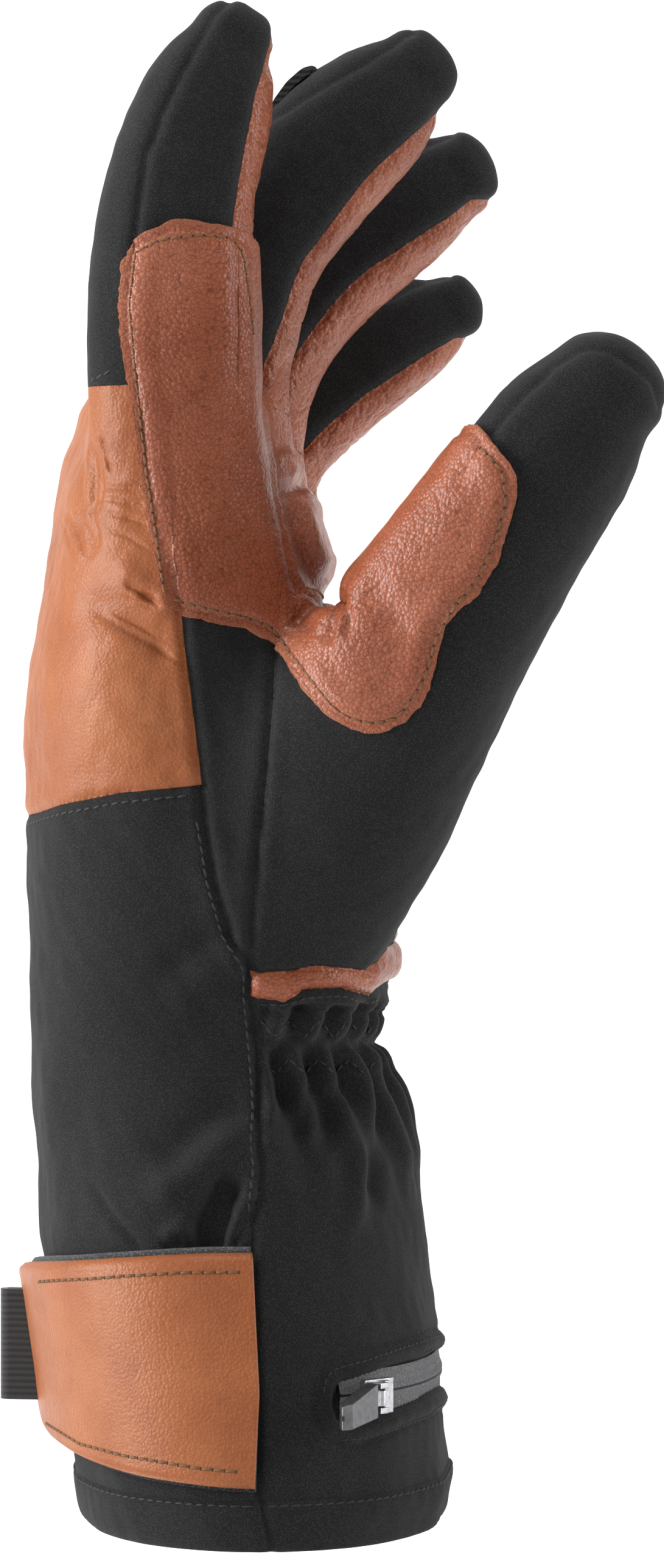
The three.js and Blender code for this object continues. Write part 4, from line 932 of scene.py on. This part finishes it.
def strip_along(picture_line, depth, thickness, y0, y1, steps=80):
    flat = [place(np.float64(px), np.float64(py), np.float64(depth))[[0, 2]] for px, py in picture_line]
    line = smooth_line(np.column_stack([flat, np.zeros(len(flat))]), steps)[:, :2]
    d = np.gradient(line, axis=0)
    d /= np.linalg.norm(d, axis=1)[:, None]
    side = np.stack([-d[:, 1], d[:, 0]], 1) * thickness / 2
    points = []
    for (x, z), (sx, sz) in zip(line, side):
        points += [(x + sx, y0, z + sz), (x + sx, y1, z + sz), (x - sx, y1, z - sz), (x - sx, y0, z - sz)]
    return points, tube_faces(steps, 4)


loop = strip_along(LOOP, -12, 1.5, -16.2, -7.4)
piece("finger_loop_web", *loop, WEBBING, ["finger_loop"], "webbing", smooth=False)


# Webbing tab folded back on itself at the strap's end
def tab_mesh(origin=(-43.6, -8.5), low=22.9, high=44.4, length=6.0, half=2.0, thick=1.2):
    def folded(r):
        bend = [(length + r * math.sin(a), r * math.cos(a)) for a in np.linspace(0, np.pi, 24)]
        return [(0, r)] + bend + [(0, -r)]

    c, s = math.cos(math.radians(172)), math.sin(math.radians(172))
    points = []
    for pair in zip(folded(half), folded(half - thick)):
        for u, w in pair:
            points += [(origin[0] + u * c - w * s, origin[1] + u * s + w * c, z) for z in (low, high)]
    faces = []
    for a in range(0, len(points) - 4, 4):
        b = a + 4
        faces += [(a, b, b + 1, a + 1), (a + 2, a + 3, b + 3, b + 2), (a + 1, b + 1, b + 3, a + 3),
                  (a, a + 2, b + 2, b)]
    return points, faces


piece("strap_tab_web", *tab_mesh(), WEBBING, ["strap_tab"], "webbing", smooth=False)

# Slider and puller, in the hinge's own axes: x along the zip, y outward, z up
HINGE = (22.383, -52.241, 28.300)
ZIP_TURN = 45.0
PULLER_LIFT = 4.0


def bevelled(name, parts, width, material, nodes, slot, body, lift=0.0):
    """Joins solids, sets them on the hinge and rounds their edges."""
    a = math.radians(ZIP_TURN + lift)
    along = np.array([math.cos(a), math.sin(a), 0.0])
    out = np.array([math.sin(a), -math.cos(a), 0.0])
    points, faces = [], []
    for corners, sides in parts:
        faces += [tuple(len(points) + i for i in side) for side in sides]
        points += [np.array(HINGE) + x * along + y * out + np.array([0, 0, z]) for x, y, z in corners]
    obj = piece(name, points, faces, material, nodes, slot, body, smooth=False)
    bm = bmesh.new()
    bm.from_mesh(obj.data)
    bmesh.ops.recalc_face_normals(bm, faces=bm.faces)
    bmesh.ops.bevel(bm, geom=bm.edges[:], offset=width * 0.001, segments=3, profile=0.6, affect="EDGES")
    bm.to_mesh(obj.data)
    bm.free()


def prism(outline, low, high):
    """Stands an outline of x, y up from low to high, one height or one for each corner."""
    count = len(outline)
    low, high = (np.broadcast_to(level, count).tolist() for level in (low, high))
    corners = [(x, y, z) for level in (low, high) for (x, y), z in zip(outline, level)]
    sides = [tuple(range(count))[::-1], tuple(range(count, 2 * count))]
    sides += [(k, (k + 1) % count, count + (k + 1) % count, count + k) for k in range(count)]
    return corners, sides


def drum(x, y, low, high, radius, sides=20):
    angles = [2 * math.pi * k / sides for k in range(sides)]
    return prism([(x + radius * math.cos(a), y + radius * math.sin(a)) for a in angles], low, high)


BAR = [(-2.3, -1.5), (-10.0, -1.5), (-11.2, 0.1), (-10.0, 1.7), (-2.3, 1.4)]
BAR_HALF = [3.2, 2.35, 2.2, 2.35, 3.2]
BAR_DROP = [0.3 * min(x + 1.5, 0) for x, _ in BAR]
LUG = [(-1.2, -2.0), (1.4, -2.0), (1.2, 1.0), (-1.0, 1.0)]
bar = prism(BAR, np.subtract(BAR_DROP, BAR_HALF), np.add(BAR_DROP, BAR_HALF))
neck = prism([(-2.6, -0.8), (-0.5, -0.8), (-0.5, 0.8), (-2.6, 0.8)], -1.4, 1.4)
eye = drum(0, 0, -1.45, 1.45, 1.2)
# A small black plug at the bar's tip is painted shade standing for the puller's hole.
hole_shade_mark = drum(-11.0, 0.1, -3.3, -2.4, 0.42, 12)
plate = prism([(-2.2, -3.3), (5.4, -3.3), (5.4, -1.9), (-2.2, -1.9)], -3.3, 3.3)
bridge = prism([(1.7, -2.0), (3.4, -2.0), (3.1, -0.6), (1.8, -0.6)], -3.0, 3.0)
slider = [plate, prism(LUG, -2.9, -1.75), prism(LUG, 1.75, 2.9), bridge]
bevelled("zip_puller_bar", [bar], 0.22, GUN, ["zip_puller"], "dark_metal", "puller", PULLER_LIFT)
bevelled("zip_puller_eye", [eye, neck], 0.1, CHROME, [], "bright_metal", "puller", PULLER_LIFT)
# The black plug is painted shade for the puller's hole.
bevelled("zip_puller_hole_shade", [hole_shade_mark], 0.04, BLACK, [], "dark_metal", "puller", PULLER_LIFT)
bevelled("zip_slider_body", slider, 0.2, CHROME, ["zip_slider"], "bright_metal", "glove")


# Stitches lie on the surface, along picture lines thrown onto it
def surface_tree():
    points, faces, base = [], [], 0
    for obj in bpy.context.scene.objects:
        if obj.type == "MESH" and obj.name.endswith(("_skin", "_leather", "_pile")):
            co = np.empty(len(obj.data.vertices) * 3, np.float32)
            obj.data.vertices.foreach_get("co", co)
            obj.data.calc_loop_triangles()
            corners = np.empty(len(obj.data.loop_triangles) * 3, np.int32)
            obj.data.loop_triangles.foreach_get("vertices", corners)
            points.append(co.reshape(-1, 3) * 1000)
            faces.append(corners.reshape(-1, 3) + base)
            base += len(co) // 3
    return BVHTree.FromPolygons(np.concatenate(points).tolist(), np.concatenate(faces).tolist())


bpy.context.view_layer.update()
tree = surface_tree()


def touch(start, end):
    """Where a ray meets the surface, and the normal there."""
    way = (end - start).normalized()
    hit, normal, _, _ = tree.ray_cast(start, way)
    if hit is None:
        return None
    if normal.dot(way) > 0:
        normal = -normal
    return np.array(hit), np.array(normal)


def throw(line, far=False):
    """Picture points onto the nearest surface, or from behind onto the far one."""
    line = np.asarray(line, float)
    lengths = path_lengths(line)
    t = np.arange(0, lengths[-1], 3.0)
    eye = Vector(EYE)
    hits = []
    for px, py in zip(np.interp(t, lengths, line[:, 0]), np.interp(t, lengths, line[:, 1])):
        aim = Vector(place(px, py, 150.0))
        hits.append(touch(aim, eye) if far else touch(eye, aim))
    return hits


def around(z, turns):
    ends = [[Vector(hand_point(np.float64(z), np.float64(t), out)) for out in (25.0, -15.0)] for t in turns]
    return [touch(outside, inside) for outside, inside in ends]


class Stitches:
    """Short capsules of thread, with flat dark capsules between those of thick thread, painted as the shade
    in the needle holes.
    """

    SIDES = 6
    PROFILE = [(0.0, 0.35), (0.14, 0.85), (0.5, 1.05), (0.86, 0.85), (1.0, 0.35)]

    def __init__(self, material):
        self.material = material
        self.v, self.f, self.m = [], [], []

    def capsule(self, a, b, up, radius, material, flat=0.75):
        side = np.cross(b - a, up)
        side /= max(np.linalg.norm(side), 1e-9)
        up = np.cross(side, (b - a) / np.linalg.norm(b - a))
        faces = tube_faces(len(self.PROFILE), self.SIDES)
        self.f += [tuple(len(self.v) + i for i in face) for face in faces]
        self.m += [material] * len(faces)
        for t, r in self.PROFILE:
            arch = math.sin(math.pi * t) * radius * 0.35 - radius * 0.25
            for k in range(self.SIDES):
                angle = 2 * math.pi * k / self.SIDES
                self.v.append(a + (b - a) * t + side * math.cos(angle) * radius * r
                              + up * (math.sin(angle) * radius * r * flat + arch))

    def sew(self, hits, pitch=2.25, radius=0.27, fill=0.80, lift=0.05, jump=4.0):
        """Stitches along each run of hits without a miss or a jump."""
        runs = [[]]
        for hit in hits:
            if hit is None or (runs[-1] and np.linalg.norm(hit[0] - runs[-1][-1][0]) > jump):
                runs.append([])
            if hit is not None:
                runs[-1].append(hit)
        for run in runs:
            if len(run) > 2:
                self.sew_run(run, pitch, radius, fill, lift)

    def sew_run(self, run, pitch, radius, fill, lift):
        p, normals = (np.array(column) for column in zip(*run))
        lengths = path_lengths(p)

        def along(t, values=p):
            return np.array([np.interp(t, lengths, values[:, c]) for c in range(3)])

        for k in range(int(lengths[-1] / pitch)):
            t0, t1 = k * pitch, k * pitch + pitch * fill
            a, b = along(t0), along(t1)
            up = along((t0 + t1) / 2, normals)
            up /= max(np.linalg.norm(up), 1e-9)
            tilt = np.cross(up, b - a) * 0.05
            self.capsule(a + up * lift - tilt, b + up * lift + tilt, up, radius, self.material)
            # A flat dark capsule after each gold stitch is painted shade for its needle hole.
            if self.material == GOLD_THREAD:
                hole_shade_mark = along(t1 + pitch * (1 - fill) / 2) + up * 0.02
                half = (b - a) / max(np.linalg.norm(b - a), 1e-9) * 0.22
                self.capsule(hole_shade_mark - half, hole_shade_mark + half, up, radius * 1.15, NEEDLE_HOLE_SHADE, 0.25)

    def build(self, name):
        threads = [GOLD, BLACK, HOLE_SHADE]
        piece(name, self.v, self.f, threads, [], "brown_leather", index=np.array(self.m, np.int32))


GOLD_THREAD, BLACK_THREAD, NEEDLE_HOLE_SHADE = 0, 1, 2
STRAP_TOP = [(62, 2106), (90, 2104), (150, 2101), (200, 2097), (300, 2091), (404, 2090)]
STRAP_LOW = [(75, 2338), (130, 2372), (200, 2391), (330, 2413), (410, 2420)]
KNUCKLE_STITCH = [(x, y + 15) for x, y in KNUCKLE_HEM[1:5]]
BACK_STITCH = [(x - 12, y) for x, y in BACK_SEAM if 1320 < y < 2030]
INDEX_HEM = [(150, 625), (165, 618), (200, 600)]
FRILL_STITCH = [(428, 1650), (470, 1652), (500, 1640), (560, 1636), (605, 1649), (625, 1640)]
WELT_TOP = [(532, 2290), (534, 2268), (548, 2250), (600, 2236), (660, 2215), (728, 2192)]
WELT_LOW = [(560, 2366), (600, 2363), (650, 2348), (700, 2328), (735, 2302)]
ZIGZAG_ROWS = [(1690, 15), (1752, 12)]

gold, dark = Stitches(GOLD_THREAD), Stitches(BLACK_THREAD)
for line in PATCH_STITCH:
    gold.sew(throw(line))
for line in (STRAP_TOP, STRAP_LOW):
    gold.sew(throw(line), radius=0.3)
for far in (False, True):
    dark.sew(throw(KNUCKLE_STITCH, far))
    dark.sew(throw(BACK_STITCH, far))
dark.sew(throw(INDEX_HEM))
dark.sew(around(8.8, np.linspace(-88, 270, 500)), radius=0.24)
for level, half in ZIGZAG_ROWS:
    zigzag = [(x, level + (half if k % 2 else -half)) for k, x in enumerate(range(428, 640, 24))]
    dark.sew(throw(zigzag), pitch=1.9, radius=0.22)
dark.sew(throw(FRILL_STITCH), pitch=1.9, radius=0.2)
for line in (WELT_TOP, WELT_LOW):
    dark.sew(throw(line), pitch=1.7, radius=0.2)
gold.build("leather_stitches")
dark.build("cloth_stitches")


# Stage, lights and camera, in metres. The floor is bright from behind the glove to the curved wall
def stage_mesh(floor=-0.03, half=4.2, back=4.0, top=6.5, bend=0.5, bright_from=0.08):
    rows = [(-4.0, floor), (bright_from, floor), (back - bend, floor)]
    for a in np.radians(np.linspace(0, 90, 13)[1:]):
        rows.append((back - bend + bend * math.sin(a), floor + bend - bend * math.cos(a)))
    rows.append((back, top))
    points = [(x, y, z) for y, z in rows for x in (-half, half)]
    faces = [(2 * k, 2 * k + 1, 2 * k + 3, 2 * k + 2) for k in range(len(rows) - 1)]
    mesh = bpy.data.meshes.new("stage")
    mesh.from_pydata(points, [], faces)
    mesh.shade_smooth()
    for name, glow in (("pale_floor", 0.0), ("pale_backdrop", 0.75)):
        look = Look(name)
        colour = look.ramp(look.noise(3), [(0, (0.86, 0.86, 0.86)), (1, (0.9, 0.9, 0.9))])
        mesh.materials.append(look.finish(Base_Color=colour, Roughness=0.9, Emission_Color=(1, 1, 1, 1),
                                          Emission_Strength=glow))
    mesh.polygons.foreach_set("material_index", [0] + [1] * (len(faces) - 1))
    return mesh


def put(name, data):
    obj = bpy.data.objects.new(name, data)
    bpy.context.scene.collection.objects.link(obj)
    return obj


put("stage", stage_mesh())

# Each light: name, place, width, height and power in watts, all aimed at the glove's middle
AIM = Vector((0, 0, 0.14))
LIGHTS = [
    ("left", (-1.25, -0.22, 0.35), 0.45, 1.1, 25),
    ("right", (1.15, -0.30, 0.35), 0.3, 1.1, 9),
    ("top", (-0.1, -0.15, 1.25), 0.8, 0.4, 7),
    ("front", (-0.45, -1.5, 0.7), 0.35, 0.35, 4.5),
]
for name, spot_at, width, height, power in LIGHTS:
    light = bpy.data.lights.new(name, "AREA")
    light.shape = "RECTANGLE"
    light.size, light.size_y = width, height
    light.energy = power
    obj = put(name, light)
    obj.location = spot_at
    obj.rotation_euler = (AIM - Vector(spot_at)).to_track_quat("-Z", "Y").to_euler()
world = bpy.data.worlds.new("studio")
world.use_nodes = True
background = world.node_tree.nodes["Background"].inputs
background["Color"].default_value = (1, 1, 1, 1)
background["Strength"].default_value = 0.06
bpy.context.scene.world = world

SENSOR = 36
lens = bpy.data.cameras.new("camera")
lens.sensor_fit = "VERTICAL"
lens.sensor_height = SENSOR
lens.lens = SENSOR * FOCAL / PICTURE_HEIGHT
lens.clip_end = 20
camera = put("camera", lens)
camera.location = [c * 0.001 for c in EYE]
camera.rotation_euler = (math.radians(90), 0, 0)
bpy.context.scene.camera = camera
bpy.context.scene.view_settings.view_transform = "Standard"
